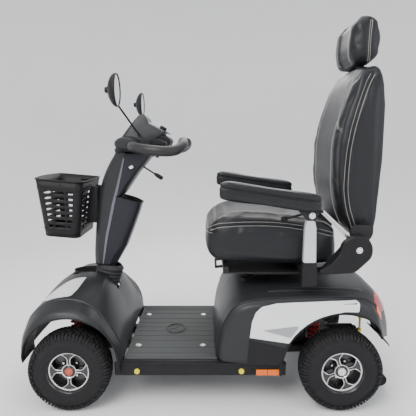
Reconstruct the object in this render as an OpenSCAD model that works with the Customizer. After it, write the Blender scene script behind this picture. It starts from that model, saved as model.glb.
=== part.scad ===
// Four-wheeled mobility scooter. Millimetres, +X forward, +Y to the rider's left, +Z up.
// The origin is on the floor, under the middle of the overall box.

/* [Wheels] */
// Outside diameter of each tyre
tyre_d = 325; // [315:1:325]
// Width of each tyre
tyre_w = 100; // [85:1:100]
// Diameter of the rim barrel that the tyre sits on
rim_d = 170; // [160:1:175]
// Distance between the front and rear axles
wheelbase = 1063; // [1055:1:1070]
// Distance between the left and right tyre centres
track = 570; // [565:1:570]

/* [Body] */
// Half of the overall length
half_length = 765; // [765:1:775]
// Height of the top of the floor mat
deck_z = 202; // [200:1:203]
// Width of the floor between the sill rails
deck_w = 568; // [540:1:568]
// Wall of the moulded covers
cover_wall = 4; // [3:0.5:5]

/* [Seat] */
// Width of the seat cushion
seat_w = 500; // [460:5:500]
// Width of the backrest
back_w = 456; // [420:4:456]
// Height of the seat cushion's underside
seat_z = 560; // [560:1:570]
// Distance of the seat's turning axis behind the origin
post_x = -274; // [-278:1:-270]

/* [Steering] */
// Lean of the steering axis from upright
steer_lean = 15; // [14:0.5:16]
// Radius of the handlebar tube
bar_r = 19; // [16:1:20]
// Diameter of each mirror
mirror_d = 118; // [100:2:120]

/* [Fits] */
// Radial clearance of a shaft in its bore
run = 0.06; // [0.02:0.01:0.1]

/* [Hidden] */
$fn = 48;

// wheels and axles
tyre_r = tyre_d / 2;
axle_z = tyre_r;
rim_r = rim_d / 2;
wheel_y = track / 2;
front_x = 542;
rear_x = front_x - wheelbase;
kingpin_y = wheel_y - 60;
stub_r = 10;
shaft_r = 12.5;
kingpin_r = 9;
// frame
rail_in = 58;
rail_out = 90;
rail_z0 = 150;
rail_z1 = 186;
arm_pin_y = 108;
arm_pin_z = 168;
swing_x = -330;
swing_z = 162;
roller_r = 25;
roller_x = roller_r - half_length;
roller_z = 38;
// steering: the axis leans back and crosses the tilt pivot
tilt_x = 440;
tilt_z = 490;
steer_r = 16;
rod_x = 463;
rod_z = 100;
// tiller
bar_x = 300;
bar_z = 1032;
tiller_half = 62;
console_half = 88;
shoulder_half = 150;
slope_a = 27.3;
dial_x = 196;
dial_z = 1098.2;
// seat
post_r = 22;
pivot_r = 12;
seat_half = seat_w / 2;
back_half = back_w / 2;
hinge_x = -574;
hinge_z = 641;
headrest_x = -634;
arm_x = -385;
arm_pivot_x = -389;
arm_pivot_z = 775;
arm_in = 266;
arm_out = 318;

// ---- outlines: points are [x, z, corner radius], counter-clockwise ----
function unit(v) = v / norm(v);
function turned(v) = [-v.y, v.x];
function flat(p) = [p.x, p.y];
function inward(p, i, d) =
    let (n = len(p), a = flat(p[(i + n - 1) % n]), b = flat(p[i]), c = flat(p[(i + 1) % n]),
        m = turned(unit(b - a)), k = turned(unit(c - b)))
    b + (m + k) * d / (1 + m * k);
function inset(p, d) = [for (i = [0:len(p) - 1]) let (q = inward(p, i, d)) [q.x, q.y, max(p[i][2] - d, 0)]];
function fillet(a, b, c, r, steps = 5) =
    let (u = unit(a - b), v = unit(c - b), half = acos(u * v) / 2, mid = b + unit(u + v) * r / sin(half),
        s = b + u * r / tan(half) - mid, e = b + v * r / tan(half) - mid,
        from = atan2(s.y, s.x), full = atan2(e.y, e.x) - from,
        sweep = full > 180 ? full - 360 : full < -180 ? full + 360 : full)
    [for (i = [0:steps]) mid + r * [cos(from + sweep * i / steps), sin(from + sweep * i / steps)]];
function rounded(p) = [for (i = [0:len(p) - 1])
    let (n = len(p), a = flat(p[(i + n - 1) % n]), b = flat(p[i]), c = flat(p[(i + 1) % n]))
    each p[i][2] > 0 ? fillet(a, b, c, p[i][2]) : [b]];
function both_sides(half) = [each half,
    for (i = [len(half) - 1:-1:0]) if (half[i].x > 0) [-half[i].x, half[i].y, half[i][2]]];

module outline(p, d = 0) {
    polygon(rounded(d == 0 ? p : inset(p, d)));
}

// ---- placing ----
module side(y0, y1) {
    translate([0, y1, 0]) rotate([90, 0, 0]) linear_extrude(y1 - y0) children();
}
module front(x0, x1) {
    translate([x0, 0, 0]) rotate([90, 0, 90]) linear_extrude(x1 - x0) children();
}
module plan(z0, z1) {
    translate([0, 0, z0]) linear_extrude(z1 - z0) children();
}
module handed(s) {
    mirror([0, s < 0 ? 1 : 0, 0]) children();
}
module pair() {
    for (s = [1, -1]) handed(s) children();
}
module across(x, z, r, y0, y1) {
    translate([x, y0, z]) rotate([-90, 0, 0]) cylinder(r = r, h = y1 - y0);
}
module along(y, z, r, x0, x1) {
    translate([x0, y, z]) rotate([0, 90, 0]) cylinder(r = r, h = x1 - x0);
}
module upright(x, y, r, z0, z1) {
    translate([x, y, z0]) cylinder(r = r, h = z1 - z0);
}
module block(a, b) {
    translate(a) cube(b - a);
}
module rod(a, b, r) {
    d = b - a;
    translate(a) rotate([0, acos(d.z / norm(d)), atan2(d.y, d.x)]) cylinder(r = r, h = norm(d));
}
// A tube swept through the points; ref is any direction that the tube never takes.
module swept(points, r, ref = [0, 0, 1], sides = 14) {
    last = len(points) - 1;
    rings = [for (i = [0:last])
        let (t = unit(points[min(i + 1, last)] - points[max(i - 1, 0)]), u = unit(cross(t, ref)), v = cross(u, t))
        for (k = [0:sides - 1]) points[i] + r * (u * cos(k * 360 / sides) + v * sin(k * 360 / sides))];
    polyhedron(rings, [
        [for (k = [sides - 1:-1:0]) k],
        for (i = [0:last - 1]) for (k = [0:sides - 1])
            let (m = (k + 1) % sides) [i * sides + k, i * sides + m, (i + 1) * sides + m, (i + 1) * sides + k],
        [for (k = [0:sides - 1]) last * sides + k]]);
}
module steer_frame() {
    translate([tilt_x, 0, tilt_z]) rotate([0, -steer_lean, 0]) children();
}
module slope_frame(y = 0, along_slope = 0) {
    translate([dial_x, y, dial_z]) rotate([0, -slope_a, 0]) translate([along_slope, 0, 0]) children();
}

// ---- chassis ----
module main_frame() color("dimgray") {
    pair() {
        block([-470, rail_in, rail_z0], [632, rail_out, rail_z1]);
        // lugs and pin of the front arm
        for (x = [[502, 508], [576, 582]]) block([x[0], rail_out, 151], [x[1], 122, 185]);
        along(arm_pin_y, arm_pin_z, 8, 502, 582);
        // tower over the front spring
        block([544, rail_in, rail_z1], [570, rail_out, 330]);
        block([536, rail_in, 324], [578, 172, 330]);
        // pivot of the swing arm
        across(swing_x, swing_z, 9, rail_out, 128);
        across(swing_x, swing_z, 15, 128, 132);
        // tower over the rear spring
        block([-462, rail_in, rail_z1], [-436, rail_out, 336]);
        block([-468, rail_in, 330], [-426, 172, 336]);
        // outriggers of the floor
        for (x = [-60, 125, 290]) block([x, rail_out, 158], [x + 30, 284, 186]);
        // anti-tip stays
        swept([[-462, 74, 156], [-490, 78, 112], [-600, 92, 88], [roller_x + 12, 124, roller_z + 14]], 9, sides = 10);
        difference() {
            across(roller_x, roller_z, 14, 118, 131);
            across(roller_x, roller_z, 6 + run, 117, 132);
        }
    }
    for (x = [-320, 40, 350, 602]) block([x, -rail_in, 154], [x + 30, rail_in, 182]);
    // seat tower
    block([-345, -rail_out, rail_z1], [-239, rail_out, 194]);
    difference() {
        upright(post_x, 0, 28, 194, 440);
        upright(post_x, 0, post_r + run, 193, 441);
    }
    pair() side(12, 18) polygon([[-345, 194], [post_x - 26, 194], [post_x - 26, 330]]);
    // steering head
    difference() {
        union() {
            steer_frame() translate([0, 0, -290]) cylinder(r = 28, h = 118);
            pair() side(22, 28) polygon([[440, 182], [600, 182], [560, 250], [500, 300], [480, 290]]);
            block([440, -rail_in, 176], [602, rail_in, 183]);
        }
        steer_frame() translate([0, 0, -340]) cylinder(r = steer_r + run, h = 200);
        steer_frame() translate([0, 0, -172]) cylinder(r = 60, h = 60);
    }
}

module floor_pan() color("dimgray") {
    difference() {
        block([-40, -deck_w / 2, 186.4], [332, deck_w / 2, 192]);
        block([-30, -deck_w / 2 + 12, 189], [322, deck_w / 2 - 12, 193]);
    }
    for (x = [60, 160, 260]) block([x - 12, -deck_w / 2 + 12, 189], [x + 12, deck_w / 2 - 12, 192]);
}

module floor_mat() color("dimgray") {
    block([-38, -deck_w / 2 + 2, 192], [330, deck_w / 2 - 2, deck_z - 1.2]);
    for (y = [-230:46:230]) block([-20, y - 9, deck_z - 1.2], [302, y + 9, deck_z]);
}

module sill_rails() color("#26272a") {
    pair() {
        difference() {
            side(286, 306) outline([[-308, 140, 6], [368, 140, 6], [368, 194, 8], [-308, 194, 8]]);
            side(284, 301) polygon([[-302, 145], [362, 145], [362, 189], [-302, 189]]);
        }
        // outrigger feet inside the rail
        for (x = [-60, 125, 290]) block([x, 286, 158], [x + 30, 301, 186]);
        // lashing points
        for (x = [-131, 278]) across(x, 158, 10.5, 306, 312);
    }
}

// A cover's volume is where its side, front and top outlines meet; d draws it in on all of them.
module cover_volume(profile, section, footprint, d) {
    intersection() {
        side(-340, 340) outline(profile, d);
        front(-half_length - 5, half_length + 5) outline(section, d);
        plan(100, 600) outline(footprint, d);
    }
}
function around(half) = [each half,
    for (i = [len(half) - 1:-1:0]) [half[i].x, -half[i].y, half[i][2]]];

front_profile = [[335, 205, 0], [700, 205, 0], [712, 186, 0], [half_length, 186, 10], [half_length - 1, 262, 50],
    [744, 332, 60], [690, 402, 90], [636, 450, 90], [596, 478, 60], [520, 489, 60], [440, 485, 20],
    [408, 410, 60], [362, 296, 60]];
front_section = both_sides([[335, 150, 0], [335, 345, 40], [318, 396, 40], [255, 434, 90], [150, 462, 90],
    [70, 488, 40]]);
front_footprint = around([[half_length, 170, 110], [742, 285, 70], [640, 335, 110], [400, 335, 60],
    [352, 310, 30], [330, 278, 0]]);
module front_volume(d) {
    cover_volume(front_profile, front_section, front_footprint, d);
}
module front_wheel_opening() {
    pair() side(280, 345) {
        translate([front_x - 4, tyre_r + 30]) circle(r = 192);
        translate([front_x - 196, 100]) square([388, 92]);
    }
}
module tilt_opening() {
    plan(380, 600) {
        translate([tilt_x, 0]) circle(r = 76);
        translate([545, 0]) circle(r = 68);
        polygon([[tilt_x, 76], [545, 68], [545, -68], [tilt_x, -76]]);
    }
}

module front_cowl() color("#4b4d51") {
    difference() {
        front_volume(0);
        front_volume(cover_wall);
        plan(150, 211) outline(front_footprint, cover_wall);
        front_wheel_opening();
        tilt_opening();
    }
}

module bonnet_panels() color("gainsboro") {
    pair() intersection() {
        difference() {
            front_volume(-3);
            front_volume(0);
        }
        side(96, 236) polygon([[512, 400], [645, 400], [630, 520], [512, 520]]);
    }
}

module lamps() {
    color("white") pair() intersection() {
        difference() {
            front_volume(-1.5);
            front_volume(0);
        }
        side(170, 270) polygon([[662, 372], [752, 326], [790, 350], [690, 412], [652, 430]]);
        block([0, 0, 0], [half_length, 400, 600]);
    }
    color("firebrick") pair() intersection() {
        difference() {
            rear_volume(-1.5);
            rear_volume(0);
        }
        side(130, 262) polygon([[-740, 368], [-650, 368], [-650, 450], [-740, 450]]);
        block([-half_length, 0, 0], [0, 400, 600]);
    }
}

rear_profile = [[-half_length, 232, 0], [-26, 205, 0], [-40, 320, 60], [-62, 392, 60], [-96, 444, 60],
    [-160, 474, 60], [-260, 481, 80], [-668, 476, 30], [-726, 400, 60], [-757, 312, 60]];
rear_section = both_sides([[332, 150, 0], [332, 330, 40], [318, 420, 40], [285, 452, 40], [220, 474, 60],
    [90, 481, 0]]);
rear_footprint = around([[-26, 284, 0], [-60, 302, 40], [-200, 332, 120], [-640, 332, 80],
    [-738, 262, 60], [-half_length, 190, 60]]);
module rear_volume(d) {
    cover_volume(rear_profile, rear_section, rear_footprint, d);
}
module rear_wheel_opening(r) {
    pair() side(290, 345) {
        translate([rear_x, tyre_r]) circle(r = r);
        translate([rear_x - r, 100]) square([2 * r, tyre_r - 100]);
    }
}

module rear_cowl() color("#4b4d51") {
    difference() {
        rear_volume(0);
        rear_volume(cover_wall);
        plan(150, 240) intersection() {
            outline(rear_footprint, cover_wall);
            translate([-half_length, -340]) square([half_length - 32, 680]);
        }
        rear_wheel_opening(240);
        upright(post_x, 0, 37, 440, 500);
    }
}

module side_panels() color("gainsboro") {
    pair() intersection() {
        difference() {
            rear_volume(-3);
            rear_volume(0);
        }
        side(290, 340) difference() {
            polygon([[-195, 424], [-180, 408], [-165, 371], [-158, 303], [-305, 262], [-576, 380],
                [-576, 440], [-361, 436]]);
            translate([rear_x, tyre_r]) circle(r = 240);
        }
    }
}

module rear_skirts() color("#2b2c2f") {
    pair() {
        intersection() {
            difference() {
                rear_volume(-3);
                rear_volume(0);
            }
            side(290, 340) difference() {
                polygon([[-148, 214], [-290, 214], [-304, 257], [-152, 292]]);
                translate([rear_x, tyre_r]) circle(r = 240);
            }
        }
        // mud guard behind the wheel
        intersection() {
            rear_volume(cover_wall + 1);
            side(236, 326) intersection() {
                translate([rear_x, tyre_r]) difference() {
                    circle(r = 206);
                    circle(r = 202);
                }
                polygon([[rear_x, tyre_r], [-760, 210], [-760, 420], [rear_x - 90, 420]]);
            }
        }
    }
}

module side_reflectors() color("orange") {
    pair() block([-278, 306, 142], [-188, 310, 168]);
}

module power_pack() {
    color("#202022") pair() block([-238, 14, 194.5], [-72, 180, 372]);
    color("silver") block([-230, -70, 372.5], [-110, 70, 412]);
    color("dimgray") block([-238, -180, 186.5], [-72, 180, 194]);
}

// ---- springs and suspension ----
module coil(x, y, r, wire, z0, z1, turns) {
    steps = 12 * turns;
    pitch = (z1 - z0 - 2 * wire) / turns;
    ring = [for (i = [0:steps]) for (k = [0:5])
        let (a = i * 30, q = r + wire * cos(k * 60))
        [x + q * cos(a), y + q * sin(a), z0 + wire + pitch * i / 12 + wire * sin(k * 60)]];
    polyhedron(ring, [
        [5, 4, 3, 2, 1, 0],
        for (i = [0:steps - 1]) for (k = [0:5])
            let (m = (k + 1) % 6) [i * 6 + k, i * 6 + m, i * 6 + 6 + m, i * 6 + 6 + k],
        [for (k = [0:5]) steps * 6 + k]]);
}
module front_springs() color("firebrick") {
    pair() coil(557, 152, 19, 4, 176.5, 323.5, 7);
}
module rear_springs() color("firebrick") {
    pair() coil(-447, 152, 19, 4, 184.5, 329.5, 7);
}

module front_arm(s) color("#303134") handed(s) {
    difference() {
        union() {
            along(arm_pin_y, arm_pin_z, 15, 509, 575);
            block([520, arm_pin_y, 160], [564, kingpin_y - 6, 174]);
            upright(front_x, kingpin_y, 17, 136, 190);
            upright(557, 152, 24, 160, 176);
        }
        along(arm_pin_y, arm_pin_z, 8 + run, 500, 585);
        upright(front_x, kingpin_y, kingpin_r + run, 130, 195);
    }
}
module front_arm_left() front_arm(1);
module front_arm_right() front_arm(-1);

module knuckle(s) color("silver") handed(s) {
    upright(front_x, kingpin_y, kingpin_r, 127, 197);
    block([front_x - 15, kingpin_y - 12, 191], [front_x + 15, 251, 199]);
    block([front_x - 15, kingpin_y - 12, 126], [front_x + 15, 251, 135]);
    block([front_x - 15, 244, 126], [front_x + 15, 251, 199]);
    across(front_x, axle_z, stub_r, 250, 314);
    // steering lever
    block([455, kingpin_y - 14, 126], [front_x, kingpin_y + 2, 134]);
}
module knuckle_left() knuckle(1);
module knuckle_right() knuckle(-1);

module track_rod() color("silver") {
    across(rod_x, rod_z, 7, -196, 196);
    pair() across(rod_x, rod_z, 9, 196, 212);
}

// ---- wheels ----
module tyre(x, s) color("#1c1c1d") handed(s) translate([x, wheel_y, axle_z]) rotate([90, 0, 0]) {
    bead = rim_r + 0.3;
    half = tyre_w / 2;
    rotate_extrude($fn = 96) polygon(rounded([
        [bead, -46, 0], [112, -half, 30], [150, 4 - half, 14], [tyre_r, -28, 10], [tyre_r, 28, 10],
        [150, half - 4, 14], [112, half, 30], [bead, 46, 0], [bead, 34, 0], [112, 38, 20], [147, 28, 8],
        [147, -28, 8], [112, -38, 20], [bead, -34, 0]]));
}
module tyre_front_left() tyre(front_x, 1);
module tyre_front_right() tyre(front_x, -1);
module tyre_rear_left() tyre(rear_x, 1);
module tyre_rear_right() tyre(rear_x, -1);

// Wheel with four forked spokes; the face stands at face_y and the hub runs on a shaft of radius shaft.
module rim(x, s, shaft, inner_y, face_y) color("#202124") handed(s) translate([x, 0, axle_z]) {
    difference() {
        across(0, 0, rim_r, wheel_y - 47, wheel_y + 47);
        across(0, 0, rim_r - 5, wheel_y - 48, wheel_y + 48);
    }
    difference() {
        across(0, 0, rim_r - 5, face_y - 10, face_y);
        across(0, 0, shaft + run, face_y - 11, face_y + 1);
        for (i = [0:3]) rotate([0, 45 + i * 90, 0]) {
            translate([0, 0, 61]) across(0, 0, 14, face_y - 11, face_y + 1);
            for (m = [-1, 1]) rotate([0, m * 25, 0]) translate([0, 0, 64]) across(0, 0, 10, face_y - 11, face_y + 1);
        }
    }
    difference() {
        across(0, 0, 30, inner_y, face_y - 10);
        across(0, 0, shaft + run, inner_y - 1, face_y - 9);
    }
    // cap and wheel nuts
    across(0, 0, 19, face_y, face_y + 9);
    for (i = [0:3]) rotate([0, 45 + i * 90, 0]) translate([0, 0, 36]) rotate([-90, 0, 0])
        translate([0, 0, face_y]) cylinder(r = 8, h = 7, $fn = 6);
}
module rim_front_left() rim(front_x, 1, stub_r, 253, 316);
module rim_front_right() rim(front_x, -1, stub_r, 253, 316);
module rim_rear_left() rim(rear_x, 1, shaft_r, 240, 320);
module rim_rear_right() rim(rear_x, -1, shaft_r, 240, 320);

// ---- rear axle ----
module rear_swing_arm() color("#303134") {
    pair() difference() {
        union() {
            across(swing_x, swing_z, 16, 96, 127);
            side(98, 124) outline([[-550, 140, 0], [-500, 140, 20], [-430, 150, 20], [swing_x, 148, 0],
                [swing_x, 176, 0], [-550, 184, 0]]);
            upright(-447, 152, 26, 168, 184);
            block([-473, 120, 168], [-421, 152, 184]);
        }
        across(swing_x, swing_z, 9 + run, 90, 130);
        across(rear_x, axle_z, 24, 90, 130);
    }
}

module transaxle() color("silver") {
    across(rear_x, axle_z, 62, -46, 46);
    pair() {
        across(rear_x, axle_z, 24, 46, 222);
        across(rear_x, axle_z, shaft_r, 222, 318);
    }
    // motor with its brake
    along(0, 178, 46, -660, rear_x);
    along(0, 178, 38, -676, -660);
    along(20, 204, 5, -694, -676);
}

module freewheel_lever() color("gold") {
    difference() {
        union() {
            along(20, 204, 11, -692, -680);
            block([-691, 14, 204], [-685, 26, 268]);
        }
        along(20, 204, 5 + run, -695, -675);
    }
    along(20, 270, 12, -696, -682);
}

module anti_tip_rollers() color("#2b2c2f") {
    across(roller_x, roller_z, 6, -164, 164);
    pair() across(roller_x, roller_z, roller_r, 136, 162);
}

// ---- steering and tiller ----
module steering_column() color("#303134") steer_frame() {
    translate([0, 0, -300]) cylinder(r = steer_r, h = 245);
    translate([0, 0, -170]) cylinder(r = 27, h = 6);
    translate([0, 0, -306]) cylinder(r = 20, h = 12);
    translate([-18, -38, -62]) cube([36, 76, 12]);
    for (y = [-38, 30]) {
        translate([-16, y, -55]) cube([32, 8, 55]);
        across(0, 0, 16, y, y + 8);
    }
    across(0, 0, 8, -41, 41);
}

module steering_gaiter() color("#1e1e20") steer_frame() translate([0, 0, -84]) {
    folds = 6;
    step = 96 / folds;
    rotate_extrude() polygon([
        [46, 0], for (i = [0:folds - 1]) each [[50, i * step], [57, (i + 0.5) * step]], [50, 96], [46, 96],
        for (i = [folds - 1:-1:0]) each [[53, (i + 0.5) * step], [46, i * step]]]);
}

tiller_outline = [[399, 512, 6], [500, 531, 10], [488, 693, 400], [470, 831, 400], [433, 932, 300],
    [386, 1012, 0], [342, 1003, 0], [244, 988, 0], [297, 919, 60], [350, 840, 60], [382, 815, 10],
    [289, 785, 4], [358, 605, 300]];
module tiller_volume(d) {
    intersection() {
        side(-100, 100) outline(tiller_outline, d);
        front(200, 520) outline(both_sides([[46, 500, 0], [58, 570, 60], [tiller_half, 800, 60],
            [70, 1020, 0]]), d);
    }
}
module tiller_front() {
    side(-100, 100) polygon([[455, 500], [435, 637], [396, 809], [352, 977], [344, 1020], [400, 1020],
        [540, 900], [540, 500]]);
}
module post_space() {
    side(-24, 24) polygon([[400, 500], [480, 500], [462, 640], [436, 800], [392, 960], [380, 1030],
        [286, 1030], [300, 990], [330, 950], [379, 832], [389, 800], [405, 640]]);
}
module basket_hook() {
    pair() side(30, 42) polygon([[470, 860], [474, 700], [530, 700], [526, 735], [511, 842], [505, 846],
        [503, 864]]);
}

module tiller_shell() color("#4b4d51") {
    intersection() {
        difference() {
            tiller_volume(0);
            tiller_volume(cover_wall);
            side(-tiller_half + 8, tiller_half - 8) polygon([[404, 500], [494, 500], [494, 540], [404, 540]]);
            side(-56, 56) polygon([[330, 986], [378, 998], [384, 1030], [322, 1030]]);
        }
        tiller_front();
    }
    difference() {
        basket_hook();
        tiller_volume(0);
    }
}

cup = [[377, 830, 0], [283, 800, 0], [342, 650, 30], [398, 662, 20]];
module tiller_rear_cover() color("#232427") {
    difference() {
        union() {
            difference() {
                tiller_volume(0);
                tiller_volume(cover_wall);
                side(-40, 40) polygon([[404, 500], [494, 500], [494, 540], [404, 540]]);
                side(-56, 56) polygon([[250, 980], [346, 994], [350, 1030], [240, 1030]]);
            }
            intersection() {
                tiller_volume(0);
                side(-51, 51) outline(cup, -3);
            }
        }
        tiller_front();
        side(-48, 48) outline(cup);
        post_space();
        // slot of the tilt lever
        block([255, 20, 912], [318, 40, 976]);
    }
}

module console() color("#4b4d51") {
    difference() {
        union() {
            difference() {
                side(-console_half, console_half) outline(console_outline);
                side(-console_half + cover_wall, console_half - cover_wall) outline(console_outline, cover_wall);
            }
            pair() side(console_half, shoulder_half) outline([[380, 1014, 10], [362, 1052, 20],
                [300, 1066, 20], [262, 1060, 8], [262, 1010, 8], [330, 1000, 10]]);
        }
        across(bar_x, bar_z, bar_r + 0.4, -shoulder_half - 1, shoulder_half + 1);
        post_space();
        // shaft of the paddles, and the holes of the dial and the button
        across(215, 1052, 6, -console_half - 1, console_half + 1);
        slope_frame() translate([0, 0, -20]) cylinder(r = 4 + run, h = 40);
        slope_frame(-46, 6) translate([0, 0, -20]) cylinder(r = 8.3, h = 40);
    }
    color("lightblue") slope_frame() translate([18, -58, 0.2]) cube([38, 116, 3]);
}
console_outline = [[386, 1013.5, 0], [372, 1040, 30], [341, 1086, 60], [307, 1134, 60], [277, 1166, 6],
    [251, 1145, 10], [248, 1125, 6], [155, 1077, 6], [160, 1034, 8], [240, 990, 0], [342, 1004.5, 0]];

module handlebar() color("#33343a") {
    difference() {
        union() {
            across(tilt_x, tilt_z, 20, -29.4, 29.4);
            swept([[tilt_x - 2, 0, tilt_z + 12], [425, 0, 640], [406, 0, 800], [352, 0, 960],
                [bar_x + 4, 0, bar_z - 5]], 14, [0, 1, 0]);
        }
        across(tilt_x, tilt_z, 8 + run, -40, 40);
    }
    across(bar_x, bar_z, bar_r, -140, 140);
    pair() {
        swept([[bar_x, 140.2, bar_z], [298, 176, 1031], [284, 214, 1028], [258, 248, 1023], [222, 272, 1018],
            [182, 280, 1014], [146, 273, 1013], [116, 250, 1019], [99, 214, 1034], [98, 172, 1047]], bar_r,
            sides = 20);
    }
    // bracket and pin of the tilt lever
    block([300, 12, 956], [352, 20, 972]);
    across(308, 964, 4, 19, 38);
}

module mirror_unit(s) color("#232427") handed(s) {
    upright(275, 126, 9, 1064.5, 1074);
    swept([[275, 126, 1074.2], [284, 150, 1090], [324, 282, 1176], [331, 300, 1196]], 4, sides = 8);
    along(310, 1230, mirror_d / 2, 322, 334);
    translate([334, 310, 1230]) rotate([0, 90, 0]) cylinder(r1 = mirror_d / 2, r2 = 22, h = 20);
    color("lightgray") along(310, 1230, mirror_d / 2 - 5, 320.5, 322);
}
module mirror_left() mirror_unit(1);
module mirror_right() mirror_unit(-1);

module speed_dial() color("#1e1e20") slope_frame() {
    translate([0, 0, 0.3]) cylinder(r = 15, h = 15);
    translate([-2, -16, 15]) cube([4, 16, 2]);
    translate([0, 0, -10]) cylinder(r = 4, h = 11);
}

module throttle_paddles() color("#1e1e20") {
    across(215, 1052, 5.4, -118, 118);
    pair() side(94, 146) outline([[222, 1044, 4], [222, 1060, 6], [206, 1060, 4], [168, 1046, 4],
        [170, 1036, 4], [206, 1044, 8]]);
}

module horn_button() color("firebrick") slope_frame(-46, 6) {
    translate([0, 0, -12]) cylinder(r = 8, h = 17);
}

module tilt_lever() color("#1e1e20") {
    difference() {
        union() {
            across(308, 964, 8, 23, 37);
            rod([302, 30, 960], [214, 30, 904], 4);
        }
        across(308, 964, 4 + run, 22, 38);
    }
    rod([228, 30, 913], [196, 30, 892.6], 9);
}

// ---- basket: drawn level about the middle of its rim, then tipped nose up ----
module basket_frame() {
    translate([592, 0, 893]) rotate([0, -4.8, 0]) children();
}
// Plan of the tub, with a flat rear wall and a bowed front wall.
module tub(rear, nose, half, z, h) {
    corner = 28;
    translate([0, 0, z]) linear_extrude(h) hull() {
        for (y = [corner - half, half - corner], x = [rear + corner, nose - 1.5 * corner])
            translate([x, y]) circle(r = corner);
        for (y = [-half / 3, half / 3]) translate([nose - corner, y]) circle(r = corner);
    }
}
module basket() color("#1e1e20") basket_frame() {
    difference() {
        union() {
            hull() {
                tub(-85, 122, 162, -4, 4);
                tub(-74, 85, 128, -236, 4);
            }
            // rim band
            hull() {
                tub(-87, 124, 164, -3, 3);
                tub(-85.5, 118.5, 158.8, -38, 2);
            }
        }
        hull() {
            tub(-82, 119, 159, 0, 2);
            tub(-71, 82, 125, -232.5, 2);
        }
        pair() across(0, -16, 4.4, 140, 170);
    }
}
module basket_handle() color("#1e1e20") basket_frame() {
    pair() {
        block([-50, 149.5, -20], [6, 154.5, -12]);
        across(0, -16, 3.6, 150, 162);
    }
    block([-58, -154.5, -20], [-50, 154.5, -12]);
}

// ---- seat ----
module seat_post() color("silver") {
    upright(post_x, 0, post_r, 262, 489);
    upright(post_x, 0, 52, 488, 494);
    upright(post_x, 0, pivot_r, 494, 514);
}

module swivel_plate() color("#303134") {
    difference() {
        union() {
            upright(post_x, 0, 60, 494.5, 503);
            block([-364, -150, 502], [-184, 150, 508]);
            pair() difference() {
                block([-404, 118, 508], [-144, 142, 521]);
                block([-405, 122, 512], [-143, 138, 522]);
            }
        }
        upright(post_x, 0, pivot_r + run, 490, 510);
    }
    upright(-228, 84, 5, 487, 502);
}

module seat_frame() color("#303134") {
    pair() {
        // upper rails round the lower ones
        block([-424, 112.5, 522.5], [-124, 147.5, 529]);
        block([-424, 112.5, 510], [-124, 117, 523]);
        block([-424, 143, 510], [-124, 147.5, 523]);
        // lugs of the slide lever
        block([-124, 66, 510], [-104, 72, 529]);
        // hinge plates
        side(250, 256) outline([[-404, 534, 0], [-404, 557, 0], [-446, 566, 20], [-536, 672, 30],
            [-574, 680, 20], [-606, 664, 20], [-612, 628, 16], [-580, 604, 20], [-530, 560, 30], [-470, 534, 10]]);
        across(hinge_x, hinge_z, 8, 241, 251);
        across(hinge_x, hinge_z, 13, 237, 241);
        across(-548, 668, 5, 256, 261.6);
        // rear cross bar ends
        block([-432, 222, 534], [-404, 251, 557]);
    }
    // pan, with the tube of the arm posts across it
    block([-432, -224, 529], [-60, 224, 534]);
    block([-432, -224, 534], [-410, 224, 557]);
    difference() {
        block([arm_x - 17, -262, 533], [arm_x + 17, 262, 559]);
        block([arm_x - 12.3, -263, 538.6], [arm_x + 12.3, 263, 554.6]);
    }
    block([-82, -224, 534], [-60, 224, 557]);
    pair() across(-114, 519, 4, 60, 70);
}

seat_profile = [[-525, seat_z, 10], [-50, seat_z, 30], [-2, seat_z + 22, 30], [20, 640, 40], [22, 700, 40],
    [-10, 752, 50], [-110, 774, 150], [-215, 770, 200], [-410, 742, 200], [-525, 700, 30]];
module seat_cushion() color("#26272a") {
    intersection() {
        side(-seat_half, seat_half) outline(seat_profile);
        front(-600, 100) outline(both_sides([[seat_half - 12, seat_z, 0], [seat_half, seat_z + 40, 40],
            [seat_half, 690, 30], [seat_half - 30, 738, 60], [130, 774, 200]]));
        plan(seat_z - 10, 800) outline(around([[22, 180, 60], [-12, seat_half, 50], [-500, seat_half, 20],
            [-525, seat_half - 26, 10]]));
    }
}

module swivel_lever() color("#1e1e20") {
    difference() {
        union() {
            upright(-228, 84, 11, 487.5, 500);
            plan(487.5, 493) polygon([[-236, 90], [-150, 176], [-140, 166], [-222, 76]]);
        }
        upright(-228, 84, 5 + run, 480, 505);
    }
    upright(-144, 172, 11, 485.5, 499);
}

module slide_lever() color("#1e1e20") {
    pair() difference() {
        side(58, 64) outline([[-124, 511, 4], [-104, 511, 0], [-30, 505, 0], [-30, 515, 0], [-104, 525, 0],
            [-124, 527, 4]]);
        across(-114, 519, 4 + run, 57, 66);
    }
    across(-34, 510, 5, -64, 64);
}

module hinge_covers() color("#33343a") {
    pair() side(262.5, 296) outline([[-430, 545, 4], [-422, 560, 4], [-467, 582, 30], [-501, 625, 30],
        [-514, 672, 14], [-563, 700, 24], [-606, 690, 24], [-627, 652, 24], [-624, 612, 14], [-562, 552, 20]]);
    pair() across(hinge_x, hinge_z, 9, 296, 299);
}

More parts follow.
